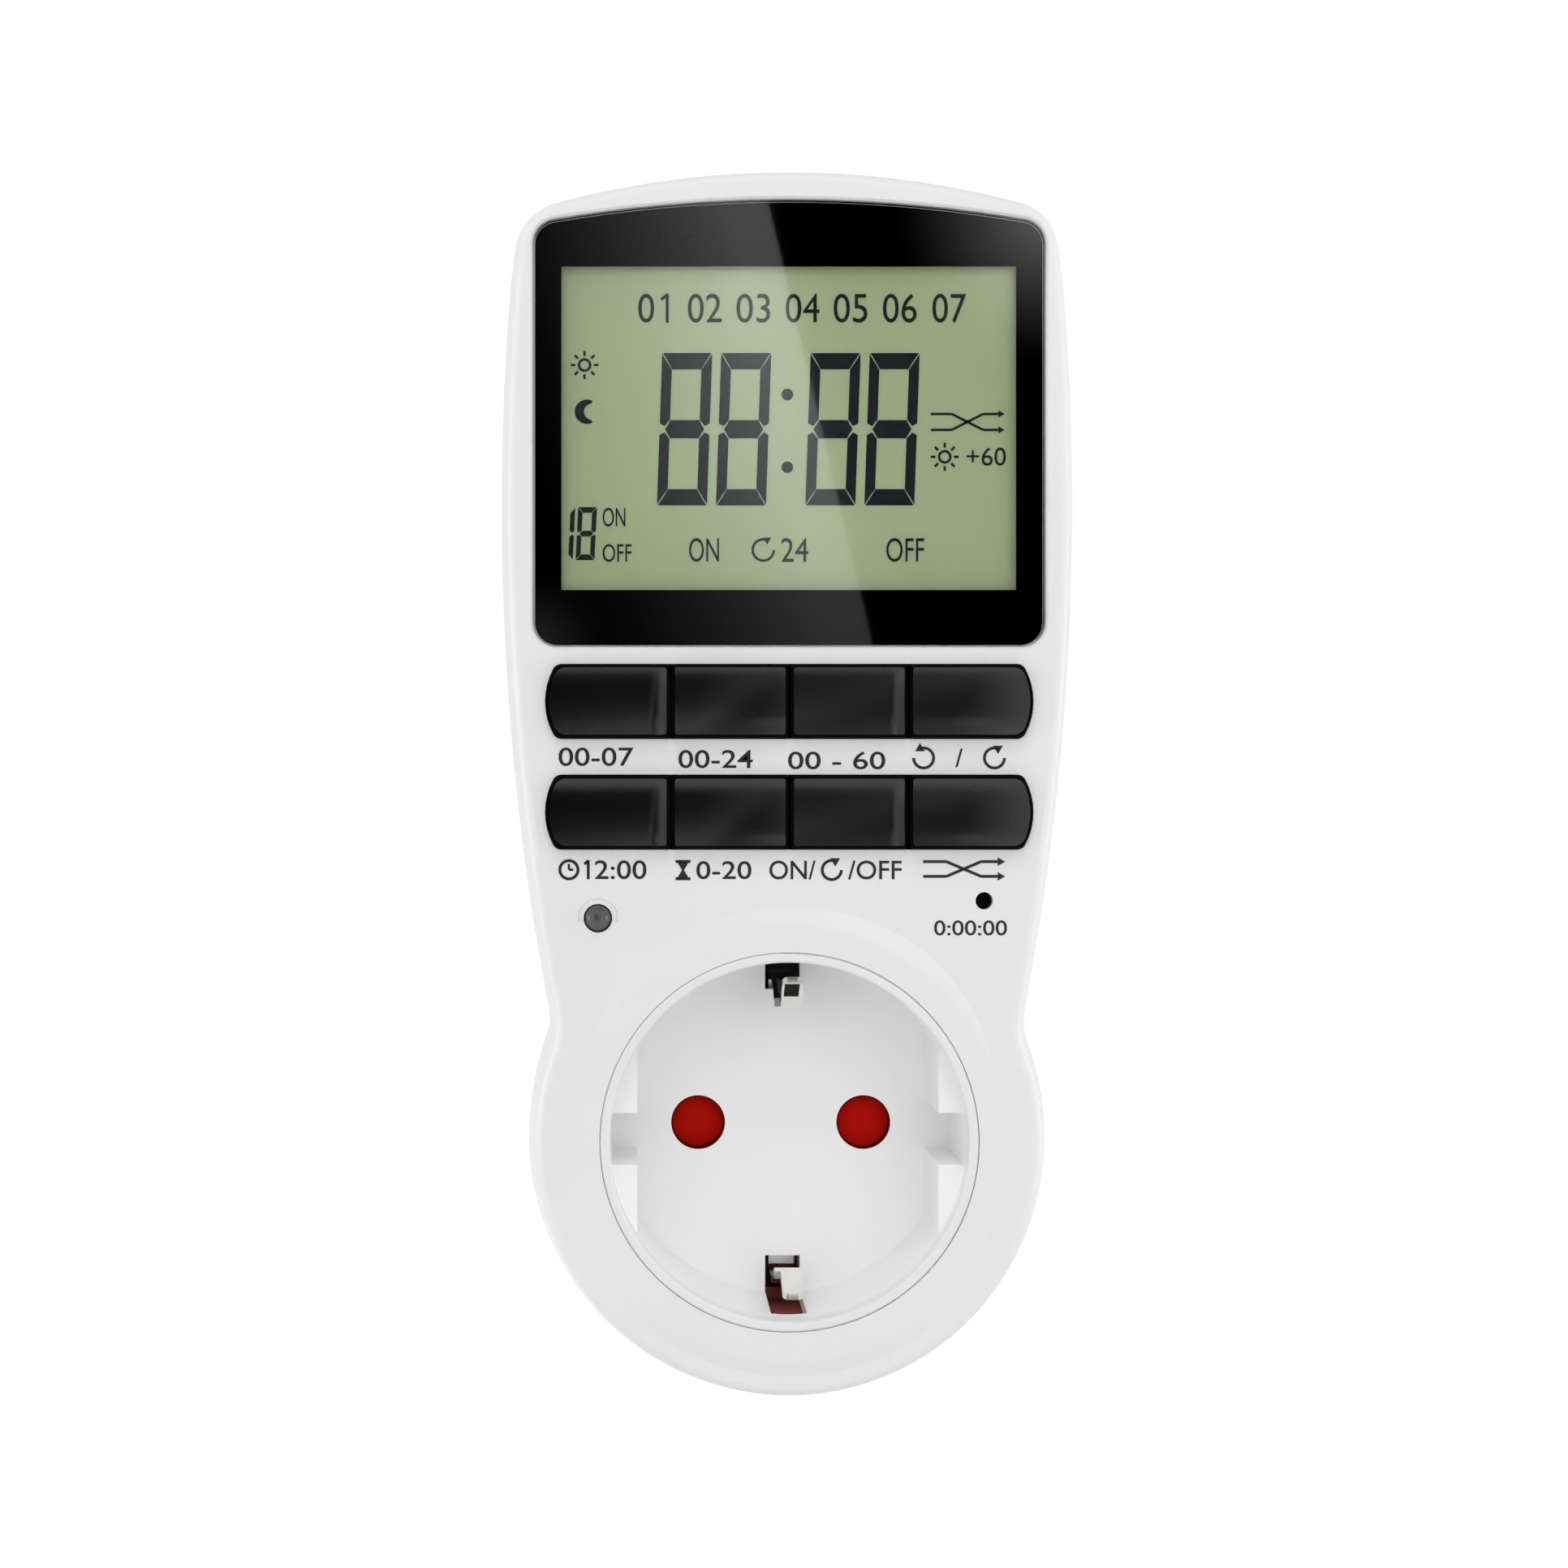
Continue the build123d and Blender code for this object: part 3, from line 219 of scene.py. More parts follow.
finishes = {
    "housing_white": {"colour": (0.83, 0.83, 0.83), "mottle": 0.012, "mottleScale": 60.0,
                      "rough": (0.34, 0.44), "grainScale": 2600.0, "grainDepth": 0.000012},
    "socket_white_painted_light": {"colour": (0.83, 0.83, 0.83), "mottle": 0.012, "mottleScale": 60.0,
                     "rough": (0.34, 0.44), "grainScale": 2600.0, "grainDepth": 0.000012,
                     # painted light: the cup is painted paler from 54.4 mm back to 51.5 mm, standing in for
                     # light its well gathers
                     "inside": (54.4, 51.5, (0.96, 0.96, 0.96))},
    "key_black": {"colour": (0.0032, 0.0032, 0.0033), "mottle": 0.12, "mottleScale": 150.0,
                  "rough": (0.15, 0.19), "grainScale": 3000.0, "grainDepth": 0.000003},
    # the keys' own black, made darker and almost without reflection: painted shade for the gaps round the keys
    # and the reset pinhole
    "key_shade_black": {"colour": (0.0022, 0.0022, 0.0023), "mottle": 0.12, "mottleScale": 150.0,
                       "rough": (0.50, 0.60), "grainScale": 3000.0, "grainDepth": 0.000006, "specular": 0.02},
    "mask_black": {"colour": (0.0048, 0.0048, 0.0049), "mottle": 0.15, "mottleScale": 300.0,
                   "rough": (0.42, 0.52), "grainScale": 4000.0, "grainDepth": 0.000003, "specular": 0.1},
    "frame_grey": {"colour": (0.25, 0.25, 0.26), "mottle": 0.04, "mottleScale": 90.0,
                   "rough": (0.50, 0.62), "grainScale": 2200.0, "grainDepth": 0.000015},
    "rubber_grey": {"colour": (0.20, 0.20, 0.21), "mottle": 0.07, "mottleScale": 110.0,
                    "rough": (0.62, 0.78), "grainScale": 1800.0, "grainDepth": 0.00002},
    "resin_black": {"colour": (0.016, 0.016, 0.017), "mottle": 0.15, "mottleScale": 240.0,
                    "rough": (0.42, 0.60), "grainScale": 3500.0, "grainDepth": 0.00001},
    "shutter_red": {"colour": (0.57, 0.0065, 0.0030), "mottle": 0.05, "mottleScale": 120.0,
                    "rough": (0.40, 0.50), "grainScale": 2400.0, "grainDepth": 0.000008, "specular": 0.02},
    # painted shade: dark red for rings that stand in for the shaded walls of the contact holes
    "painted_hole_shade": {"colour": (0.10, 0.002, 0.002), "mottle": 0.08, "mottleScale": 200.0,
                "rough": (0.50, 0.60), "grainScale": 2400.0, "grainDepth": 0.000006, "specular": 0.02},
    # painted shade: near black for a patch that stands in for the shade and dark reflection in the upper clip's
    # curl
    "hollow_dark": {"colour": (0.012, 0.010, 0.008), "mottle": 0.15, "mottleScale": 500.0,
                    "rough": (0.50, 0.60), "grainScale": 3000.0, "grainDepth": 0.000006, "specular": 0.05},
    "carrier_brown": {"colour": (0.36, 0.082, 0.066), "mottle": 0.14, "mottleScale": 420.0,
                      "rough": (0.45, 0.60), "grainScale": 2600.0, "grainDepth": 0.00002},
    "wire_brown": {"colour": (0.12, 0.045, 0.018), "mottle": 0.06, "mottleScale": 160.0,
                   "rough": (0.40, 0.52), "grainScale": 2400.0, "grainDepth": 0.000008},
    "wire_black": {"colour": (0.018, 0.018, 0.019), "mottle": 0.08, "mottleScale": 160.0,
                   "rough": (0.40, 0.52), "grainScale": 2400.0, "grainDepth": 0.000008},
    "wire_blue": {"colour": (0.02, 0.10, 0.42), "mottle": 0.06, "mottleScale": 160.0,
                  "rough": (0.40, 0.52), "grainScale": 2400.0, "grainDepth": 0.000008},
    "relay_blue": {"colour": (0.03, 0.13, 0.38), "mottle": 0.05, "mottleScale": 90.0,
                   "rough": (0.34, 0.46), "grainScale": 2000.0, "grainDepth": 0.000012},
    "capacitor_yellow": {"colour": (0.62, 0.42, 0.06), "mottle": 0.05, "mottleScale": 100.0,
                         "rough": (0.28, 0.40), "grainScale": 2000.0, "grainDepth": 0.00001},
    "varistor_blue": {"colour": (0.02, 0.09, 0.28), "mottle": 0.08, "mottleScale": 200.0,
                      "rough": (0.24, 0.38), "grainScale": 900.0, "grainDepth": 0.00003},
    "resistor_green": {"colour": (0.12, 0.25, 0.13), "mottle": 0.10, "mottleScale": 500.0,
                       "rough": (0.60, 0.78), "grainScale": 2200.0, "grainDepth": 0.00003},
    "cable_grey": {"colour": (0.45, 0.45, 0.46), "mottle": 0.05, "mottleScale": 130.0,
                   "rough": (0.44, 0.56), "grainScale": 800.0, "grainDepth": 0.00002,
                   "stretch": (1, 0.05, 0.05)},
    "legend_ink": {"colour": (0.007, 0.007, 0.0075), "mottle": 0.2, "mottleScale": 600.0,
                   "rough": (0.45, 0.60), "grainScale": 5000.0, "grainDepth": 0.000004},
    "segment_dark": {"colour": (0.020, 0.021, 0.024), "mottle": 0.08, "mottleScale": 500.0,
                     "rough": (0.50, 0.60), "grainScale": 5000.0, "grainDepth": 0.000002, "specular": 0.0},
    "segment_gap": {"colour": (0.46, 0.52, 0.39), "mottle": 0.04, "mottleScale": 400.0,
                    "rough": (0.50, 0.60), "grainScale": 5000.0, "grainDepth": 0.000002, "specular": 0.0},
}
metalFinishes = {
    "bright_metal": {"colour": (0.88, 0.875, 0.855), "rough": (0.16, 0.26), "patchScale": 160.0,
                     "lineScale": 900.0, "stretch": (1, 0.06, 1), "lineDepth": 0.000004},
    "pin_nickel": {"colour": (0.58, 0.575, 0.56), "rough": (0.20, 0.30), "patchScale": 160.0,
                   "lineScale": 900.0, "stretch": (1, 0.06, 1), "lineDepth": 0.000004},
    "spring_steel": {"colour": (0.52, 0.52, 0.53), "rough": (0.26, 0.38), "patchScale": 260.0,
                     "lineScale": 1200.0, "stretch": (1, 1, 0.1), "lineDepth": 0.000006},
    "contact_brass": {"colour": (0.74, 0.55, 0.24), "rough": (0.22, 0.36), "patchScale": 190.0,
                      "lineScale": 900.0, "stretch": (1, 0.08, 1), "lineDepth": 0.000005},
}
materials = {name: moulded(name, values) for name, values in finishes.items()}
materials.update({name: metal(name, values) for name, values in metalFinishes.items()})

lensValues = {"tint": (0.97, 0.98, 0.975), "rough": (0.012, 0.030), "ior": 1.49, "hazeScale": 240.0}


def clearLens(name, values):
    material, tree, shader = blankMaterial(name)
    shader.inputs["Base Color"].default_value = (*values["tint"], 1)
    shader.inputs["Transmission Weight"].default_value = 1.0
    shader.inputs["IOR"].default_value = values["ior"]
    haze = noiseAt(tree, objectPoint(tree), values["hazeScale"])
    tree.links.new(spread(tree, haze, *values["rough"]), shader.inputs["Roughness"])
    return material


materials["lens_clear"] = clearLens("lens_clear", lensValues)

resinValues = {"tint": (0.10, 0.10, 0.105), "tones": (0.85, 1.15), "rough": (0.05, 0.10), "clear": 0.25,
               "cloudScale": 700.0}


def smokyResin(name, values):
    material, tree, shader = blankMaterial(name)
    cloud = noiseAt(tree, objectPoint(tree), values["cloudScale"])
    tree.links.new(twoTone(tree, cloud, values["tint"], *values["tones"]), shader.inputs["Base Color"])
    tree.links.new(spread(tree, cloud, *values["rough"]), shader.inputs["Roughness"])
    shader.inputs["Transmission Weight"].default_value = values["clear"]
    return material


materials["lamp_smoke"] = smokyResin("lamp_smoke", resinValues)

displayValues = {"colour": (0.42, 0.50, 0.29), "tones": (0.97, 1.03), "rough": (0.09, 0.12), "ior": 1.7,
                 "driftStretch": (1, 1, 1.6), "driftScale": 28.0, "lineStretch": (0.02, 1, 1),
                 "lineScale": 5200.0, "lineDepth": 0.000002, "detail": 1.0}


def displayFilm(name, values):
    # grey-green polariser film: very fine horizontal lines over a slow drift of tone
    material, tree, shader = blankMaterial(name)
    drift = noiseAt(tree, objectPoint(tree, values["driftStretch"]), values["driftScale"], values["detail"])
    tree.links.new(twoTone(tree, drift, values["colour"], *values["tones"]), shader.inputs["Base Color"])
    lines = noiseAt(tree, objectPoint(tree, values["lineStretch"]), values["lineScale"], values["detail"])
    tree.links.new(spread(tree, lines, *values["rough"]), shader.inputs["Roughness"])
    bumpFrom(tree, shader, lines, values["lineDepth"])
    shader.inputs["IOR"].default_value = values["ior"]
    return material


materials["lcd_green"] = displayFilm("lcd_green", displayValues)

boardValues = {
    "board_green": {"colour": (0.020, 0.13, 0.055), "track": (0.045, 0.21, 0.09), "tracks": 420.0,
                    "gap": 0.03, "depth": 0.00002, "rough": 0.34},
    "board_tan": {"colour": (0.42, 0.30, 0.155), "track": (0.47, 0.34, 0.18), "tracks": 300.0,
                  "gap": 0.03, "depth": 0.00002, "rough": 0.5},
}


def boardSheet(name, values):
    # laminate with raised tracks under its coating
    material, tree, shader = blankMaterial(name)
    bricks = tree.nodes.new("ShaderNodeTexBrick")
    bricks.inputs["Scale"].default_value = values["tracks"]
    bricks.inputs["Mortar Size"].default_value = values["gap"]
    for socket, colour in (("Color1", "track"), ("Color2", "colour"), ("Mortar", "colour")):
        bricks.inputs[socket].default_value = (*values[colour], 1)
    tree.links.new(objectPoint(tree, turn=(90, 0, 0)), bricks.inputs["Vector"])
    tree.links.new(bricks.outputs["Color"], shader.inputs["Base Color"])
    shader.inputs["Roughness"].default_value = values["rough"]
    bumpFrom(tree, shader, bricks.outputs["Fac"], values["depth"])
    return material


for name, values in boardValues.items():
    materials[name] = boardSheet(name, values)

# nodes that don't take the material of their slot
# painted shade: the keys' sides and the reset button take a darker black with almost no reflection, standing in
# for the shade in the gaps round the keys and in the pinhole
ownMaterials = {"socket_cup": "socket_white_painted_light", "reset_button": "key_shade_black",
                "plug_pin_left": "pin_nickel", "plug_pin_right": "pin_nickel", "plug_earth_strap": "pin_nickel"}
keyNames = [row["node"] for row in frame["record"]["subparts"] if "_key_" in row["node"]]
ownMaterials.update(dict.fromkeys(keyNames, "key_shade_black"))
for row in frame["record"]["subparts"]:
    for slot in nodes[row["node"]].material_slots:
        slot.material = materials[ownMaterials.get(row["node"], row["material_slot"])]
print("stage: materials,", len(materials))


# Flat marks: each is drawn in X and Y of its own mesh, then stood up to face the front
def addBar(bm, x, z, width, tall, turn=0.0):
    made = bmesh.ops.create_grid(bm, x_segments=1, y_segments=1, size=0.5)["verts"]
    bmesh.ops.scale(bm, vec=(width, tall, 1), verts=made)
    placeVerts(bm, made, x, z, turn)


def addDot(bm, x, z, radius, segments=24, turn=0.0):
    made = bmesh.ops.create_circle(bm, cap_ends=True, radius=radius, segments=segments)["verts"]
    placeVerts(bm, made, x, z, turn)


def placeVerts(bm, verts, x, z, turn):
    spin = Matrix.Rotation(math.radians(turn), 3, "Z")
    bmesh.ops.rotate(bm, cent=(0, 0, 0), matrix=spin, verts=verts)
    bmesh.ops.translate(bm, vec=(x, z, 0), verts=verts)


def addArc(bm, x, z, radius, width, start=0.0, sweep=360.0, steps=28):
    before = set(bm.verts)
    inner = bm.verts.new((radius - width / 2, 0, 0))
    outer = bm.verts.new((radius + width / 2, 0, 0))
    edge = bm.edges.new((inner, outer))
    bmesh.ops.spin(bm, geom=[inner, outer, edge], cent=(0, 0, 0), axis=(0, 0, 1), dvec=(0, 0, 0),
                   angle=math.radians(sweep), steps=steps, use_merge=sweep >= 360, use_duplicate=False)
    placeVerts(bm, [v for v in bm.verts if v not in before], x, z, start)


def onCircle(turn, radius, centre=0.0):
    angle = math.radians(turn)
    return centre + radius * math.cos(angle), radius * math.sin(angle)


def addFace(bm, points):
    bm.faces.new([bm.verts.new((x, z, 0)) for x, z in points])


# Proportions of the plain signs, each drawn about its middle. Pairs are for clockwise and for back.
cycleShape = {"sweep": 290, "steps": 22, "start": (70, -180), "headAcross": 0.36, "headUp": 0.94,
              "headSize": 1.9, "headTurn": (60, 0)}
oneShape = {"flagBack": 0.10, "flagUp": 0.385, "flagLong": 0.28, "flagTurn": 38}
clockShape = {"longHand": 0.64, "shortHand": 0.48, "handWidth": 0.8}
glassShape = {"capWide": 0.74, "bulbHalf": 0.29, "bulbTall": 0.40, "neckHalf": 0.35}
shuffleShape = {"margin": 1.4, "tailAt": 0.36, "tailLong": 0.28, "noseAt": 0.30, "noseLong": 0.20,
                "headAt": 0.43, "headSize": 1.7, "crossAt": 0.01, "crossLong": 0.42}
sunShape = {"disc": 0.20, "steps": 20, "rayTurn": 45, "rayAt": 0.41, "rayLong": 0.17}
moonShape = {"shift": 0.2, "outer": (60, 301, 20), "inner": (260, 99, -16), "biteAt": 0.42, "bite": 0.66}


def drawCycle(bm, x, z, size, width, back=False):
    # an open ring with an arrow head, clockwise or back
    shape = cycleShape
    radius = size / 2 - width / 2
    across = -radius if back else radius
    addArc(bm, x, z, radius, width, shape["start"][back], shape["sweep"], shape["steps"])
    addDot(bm, x + across * shape["headAcross"], z + radius * shape["headUp"], width * shape["headSize"],
           segments=3, turn=shape["headTurn"][back])


def drawOne(bm, x, z, tall, width):
    # the figure one: a stem and a short slanted flag
    shape = oneShape
    addBar(bm, x, z, width, tall)
    addBar(bm, x - tall * shape["flagBack"], z + tall * shape["flagUp"], tall * shape["flagLong"], width,
           turn=shape["flagTurn"])


def drawClock(bm, x, z, size, width):
    shape = clockShape
    radius = size / 2 - width / 2
    hand = width * shape["handWidth"]
    long = radius * shape["longHand"]
    short = radius * shape["shortHand"]
    addArc(bm, x, z, radius, width)
    addBar(bm, x, z + long / 2, hand, long)
    addBar(bm, x + short / 2, z, short, hand)


def drawHourglass(bm, x, z, size, width):
    shape = glassShape
    bulb = size * shape["bulbHalf"]
    neck = width * shape["neckHalf"]
    for side in (-1, 1):
        addBar(bm, x, z + side * (size / 2 - width / 2), size * shape["capWide"], width)
        high = z + side * size * shape["bulbTall"]
        addFace(bm, [(x - bulb, high), (x + bulb, high), (x + neck, z), (x - neck, z)][::side])


def drawShuffle(bm, x, z, wide, tall, width):
    # two lines that change places, each ending in an arrow head
    shape = shuffleShape
    rise = tall / 2 - width * shape["margin"]
    cross = wide * shape["crossLong"]
    slope = math.degrees(math.atan2(2 * rise, cross))
    for side in (-1, 1):
        high = z + side * rise
        addBar(bm, x - wide * shape["tailAt"], high, wide * shape["tailLong"], width)
        addBar(bm, x + wide * shape["noseAt"], high, wide * shape["noseLong"], width)
        addDot(bm, x + wide * shape["headAt"], high, width * shape["headSize"], segments=3, turn=-90)
        addBar(bm, x - wide * shape["crossAt"], z, math.hypot(2 * rise, cross), width, turn=-side * slope)


def drawSun(bm, x, z, size, width):
    shape = sunShape
    addArc(bm, x, z, size * shape["disc"], width, steps=shape["steps"])
    reach = size * shape["rayAt"]
    for turn in range(0, 360, shape["rayTurn"]):
        px, pz = onCircle(turn, reach)
        addBar(bm, x + px, z + pz, size * shape["rayLong"], width, turn=turn)


def drawMoon(bm, x, z, size):
    shape = moonShape
    radius = size / 2
    outer = [onCircle(turn, 1) for turn in range(*shape["outer"])]
    inner = [onCircle(turn, shape["bite"], shape["biteAt"]) for turn in range(*shape["inner"])]
    addFace(bm, [(x + (px + shape["shift"]) * radius, z + pz * radius) for px, pz in [*outer, *inner]])


def addPiece(name, mesh, material, body="housing"):
    mesh.materials.clear()
    mesh.materials.append(material)
    piece = newObject(name, mesh)
    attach(piece, body)
    return piece


def standAt(mesh, height):
    # from millimetres lying flat to metres standing at a height
    mesh.transform(Matrix.Scale(mm, 4))
    mesh.transform(Matrix.Rotation(math.radians(90), 4, "X"))
    mesh.transform(Matrix.Translation((0, -height * mm, 0)))


mergeReach = 0.0005


def finishMark(name, bm, height, thickness, material):
    # flat faces become a solid plate, from a height forwards
    bmesh.ops.remove_doubles(bm, verts=bm.verts, dist=mergeReach)
    bmesh.ops.recalc_face_normals(bm, faces=bm.faces)
    for face in bm.faces:
        if face.normal.z < 0:
            face.normal_flip()
    grown = bmesh.ops.extrude_face_region(bm, geom=bm.faces[:], use_keep_orig=True)
    raised = [v for v in grown["geom"] if isinstance(v, bmesh.types.BMVert)]
    bmesh.ops.translate(bm, vec=(0, 0, thickness), verts=raised)
    bmesh.ops.recalc_face_normals(bm, faces=bm.faces)
    mesh = meshFrom(name, bm)
    standAt(mesh, height)
    return addPiece(name, mesh, material)


wordSteps = 5


def wordMesh(name, words, thickness, weight):
    curve = bpy.data.curves.new(name, "FONT")
    curve.body = words
    curve.size = 1.0
    curve.offset = weight
    curve.resolution_u = wordSteps
    curve.extrude = thickness / 2
    carrier = newObject(name + "_curve", curve)
    bpy.context.view_layer.update()
    graph = bpy.context.evaluated_depsgraph_get()
    mesh = bpy.data.meshes.new_from_object(carrier.evaluated_get(graph))
    bpy.data.objects.remove(carrier)
    bpy.data.curves.remove(curve)
    return mesh


def addWords(name, words, box, height, thickness, material, weight):
    # the words fill the box: left, right, low and high in millimetres
    left, right, low, high = box
    mesh = wordMesh(name, words, thickness, weight)
    xs = [v.co.x for v in mesh.vertices]
    ys = [v.co.y for v in mesh.vertices]
    mesh.transform(Matrix.Translation((-min(xs), -min(ys), thickness / 2)))
    wide = (right - left) / (max(xs) - min(xs))
    tall = (high - low) / (max(ys) - min(ys))
    mesh.transform(Matrix.Diagonal((wide, tall, 1, 1)))
    mesh.transform(Matrix.Translation((left, low, 0)))
    standAt(mesh, height)
    return addPiece(name, mesh, material)


# The display's digits: seven bars each, over a paler film that shows in the gaps
digitValues = {
    "lefts": (-13.785, -7.32, 2.47, 8.93),
    "bottom": 69.41, "width": 5.48, "tall": 16.68,
    "upright": 1.12, "cross": 1.78, "middle": 2.0, "gap": 0.17, "slant": 0.035,
    "colonX": -0.08, "colonZ": (73.59, 81.55), "colonRadius": 0.64,
    "lift": 0.02, "thickness": 0.04, "ghostGrow": 0.075, "ghostLift": 0.005, "ghostThickness": 0.01,
}
countValues = {
    "lefts": (-25.35, -22.98), "bottom": 63.42, "width": 2.05, "tall": 5.80,
    "upright": 0.50, "cross": 0.62, "middle": 0.62, "gap": 0.10, "slant": 0.05,
}


# parts of a bar's width at which its pointed ends meet their neighbours
barPoints = {"middle": 0.45, "upright": 0.5, "uprightEnd": 0.25}
rightBars = (4, 6)


def segmentPoints(values, grow=0.0):
    # corners of the seven bars of one digit, from its lower left corner
    w = values["width"]
    t = values["tall"]
    u = values["upright"]
    c = values["cross"]
    m = values["middle"] / 2
    g = values["gap"] / 2 - grow
    half = t / 2
    low = -grow
    top = [(g, t + grow), (w - g, t + grow), (w - u - g, t - c - grow), (u + g, t - c - grow)]
    bottom = [(x, t - z) for x, z in top][::-1]
    point = barPoints["middle"]
    middle = [(u * point + g, half), (u + g, half + m + grow), (w - u - g, half + m + grow),
              (w - u * point - g, half), (w - u - g, half - m - grow), (u + g, half - m - grow)]
    left = [(low, half + g * 2 + m * point), (low, t - g), (u + grow, t - c - g), (u + grow, half + m + g),
            (u * barPoints["upright"], half + g + m * barPoints["uprightEnd"])]
    rightSide = [(w - x, z) for x, z in left][::-1]
    leftLow = [(x, t - z) for x, z in left][::-1]
    rightLow = [(w - x, z) for x, z in leftLow][::-1]
    return [top, bottom, middle, left, rightSide, leftLow, rightLow]


def drawDigit(bm, values, left, onlyOne=False, grow=0.0):
    bars = segmentPoints(values, grow)
    if onlyOne:
        bars = [bars[i] for i in rightBars]
    for bar in bars:
        lean = [(left + x + values["slant"] * (z - values["tall"]), values["bottom"] + z) for x, z in bar]
        addFace(bm, lean)


def makeDigits(values, counts, height):
    bars = bmesh.new()
    ghost = bmesh.new()
    for left in values["lefts"]:
        drawDigit(bars, values, left)
        drawDigit(ghost, values, left, grow=values["ghostGrow"])
    for z in values["colonZ"]:
        addDot(bars, values["colonX"], z, values["colonRadius"])
    drawDigit(bars, counts, counts["lefts"][0], onlyOne=True)
    drawDigit(bars, counts, counts["lefts"][1])
    finishMark("display_digit_gaps", ghost, height + values["ghostLift"], values["ghostThickness"],
               materials["segment_gap"])
    finishMark("display_digits", bars, height + values["lift"], values["thickness"],
               materials["segment_dark"])


makeDigits(digitValues, countValues, frontOf("lcd_glass"))

# Number rows, ON and OFF, and plain signs in the display
displayMarks = {
    "lift": 0.02, "thickness": 0.03, "stroke": 0.27, "weight": 0.0,
    "dayCentres": (-14.57, -9.13, -3.82, 1.58, 6.83, 12.23, 17.65), "dayHalf": 1.85,
    "dayLow": 89.42, "dayHigh": 92.59, "zeroEnd": 0.05, "oneAt": 0.72, "oneWidth": 1.2,
    "words": (("on_small", "ON", (-20.31, -17.82, 67.08, 69.16)),
              ("off_small", "OFF", (-20.31, -17.14, 63.22, 65.18)),
              ("on_mark", "ON", (-10.85, -7.56, 63.22, 65.84)),
              ("cycle_hours", "24", (-0.75, 2.21, 63.22, 65.84)),
              ("off_mark", "OFF", (10.75, 14.90, 63.22, 65.84)),
              ("summer_hour", "+60", (19.55, 23.85, 73.75, 75.75))),
    "sun": (-22.29, 84.78, 3.1), "moon": (-22.30, 79.66, 2.7), "cycle": (-2.72, 64.53, 2.6),
    "shuffle": (19.72, 78.55, 8.2, 2.5), "summerSun": (17.15, 74.73, 3.1),
}


def makeDisplayMarks(values, front):
    height = front + values["lift"]
    thick = values["thickness"]
    dark = materials["segment_dark"]
    half = values["dayHalf"]
    low = values["dayLow"]
    high = values["dayHigh"]
    first, *others = values["dayCentres"]
    rows = [("day_1", "0", (first - half, first - half * values["zeroEnd"], low, high))]
    rows += [(f"day_{index}", f"0{index}", (centre - half, centre + half, low, high))
             for index, centre in enumerate(others, 2)]
    for name, words, box in [*rows, *values["words"]]:
        addWords(f"display_{name}", words, box, height, thick, dark, values["weight"])
    signs = bmesh.new()
    stroke = values["stroke"]
    drawOne(signs, first + half * values["oneAt"], (low + high) / 2, high - low, stroke * values["oneWidth"])
    drawSun(signs, *values["sun"], stroke)
    drawMoon(signs, *values["moon"])
    drawCycle(signs, *values["cycle"], stroke)
    drawShuffle(signs, *values["shuffle"], stroke)
    drawSun(signs, *values["summerSun"], stroke)
    finishMark("display_signs", signs, height, thick, dark)


makeDisplayMarks(displayMarks, frontOf("lcd_glass"))
print("stage: display marks")

# Printed legends under the keys and the reset pinhole: numbers, ON and OFF, and plain signs
legendValues = {
    "thickness": 0.025, "lift": 0.004, "stroke": 0.32, "weight": 0.006, "cuts": 2,
    "words": (("days_legend", "00-07", (-25.08, -16.93, 40.84, 42.87)),
              ("hours_legend", "00-24", (-12.05, -3.96, 40.62, 42.60)),
              ("minutes_legend", "00 - 60", (-0.14, 10.44, 40.49, 42.43)),
              ("recall_slash", "/", (18.05, 18.85, 40.71, 42.74)),
              ("clock_legend", "2:00", (-21.15, -15.52, 28.55, 30.61)),
              ("timer_legend", "0-20", (-10.10, -4.11, 28.55, 30.52)),
              ("on_legend", "ON/", (-2.17, 2.86, 28.52, 30.58)),
              ("off_legend", "/OFF", (6.39, 12.21, 28.52, 30.58)),
              ("reset_legend", "0:00:00", (15.74, 23.67, 22.43, 24.08))),
    "back": (14.60, 41.73, 2.5), "forward": (22.30, 41.73, 2.5), "hourglass": (-11.55, 29.54, 2.2),
    "auto": (4.62, 29.55, 2.4), "shuffle": (19.05, 29.66, 9.0, 2.5), "clock": (-23.95, 29.58, 2.3),
    "one": (-21.85, 29.58, 2.06),
}


rayStart = -0.08


def pressOnto(piece, carrier, lift):
    # every point keeps its own thickness above the surface it lies over
    back = min(-v.co.y for v in piece.data.vertices)
    for vertex in piece.data.vertices:
        start = Vector((vertex.co.x, rayStart, vertex.co.z))
        hit, place, _, _ = carrier.ray_cast(start, Vector((0, 1, 0)))
        if hit:
            vertex.co.y = place.y - lift * mm - (-vertex.co.y - back)


def makeLegends(values, height):
    ink = materials["legend_ink"]
    pieces = [addWords(name, words, box, height, values["thickness"], ink, values["weight"])
              for name, words, box in values["words"]]
    stroke = values["stroke"]
    signs = bmesh.new()
    drawCycle(signs, *values["back"], stroke, back=True)
    drawCycle(signs, *values["forward"], stroke)
    drawHourglass(signs, *values["hourglass"], stroke)
    drawCycle(signs, *values["auto"], stroke)
    drawShuffle(signs, *values["shuffle"], stroke)
    drawClock(signs, *values["clock"], stroke)
    drawOne(signs, *values["one"], stroke)
    bmesh.ops.subdivide_edges(signs, edges=signs.edges, cuts=values["cuts"], use_grid_fill=True)
    pieces.append(finishMark("legend_signs", signs, height, values["thickness"], ink))
    for piece in pieces:
        pressOnto(piece, nodes["front_shell"], values["lift"])


makeLegends(legendValues, frontOf("front_shell"))
print("stage: legends")

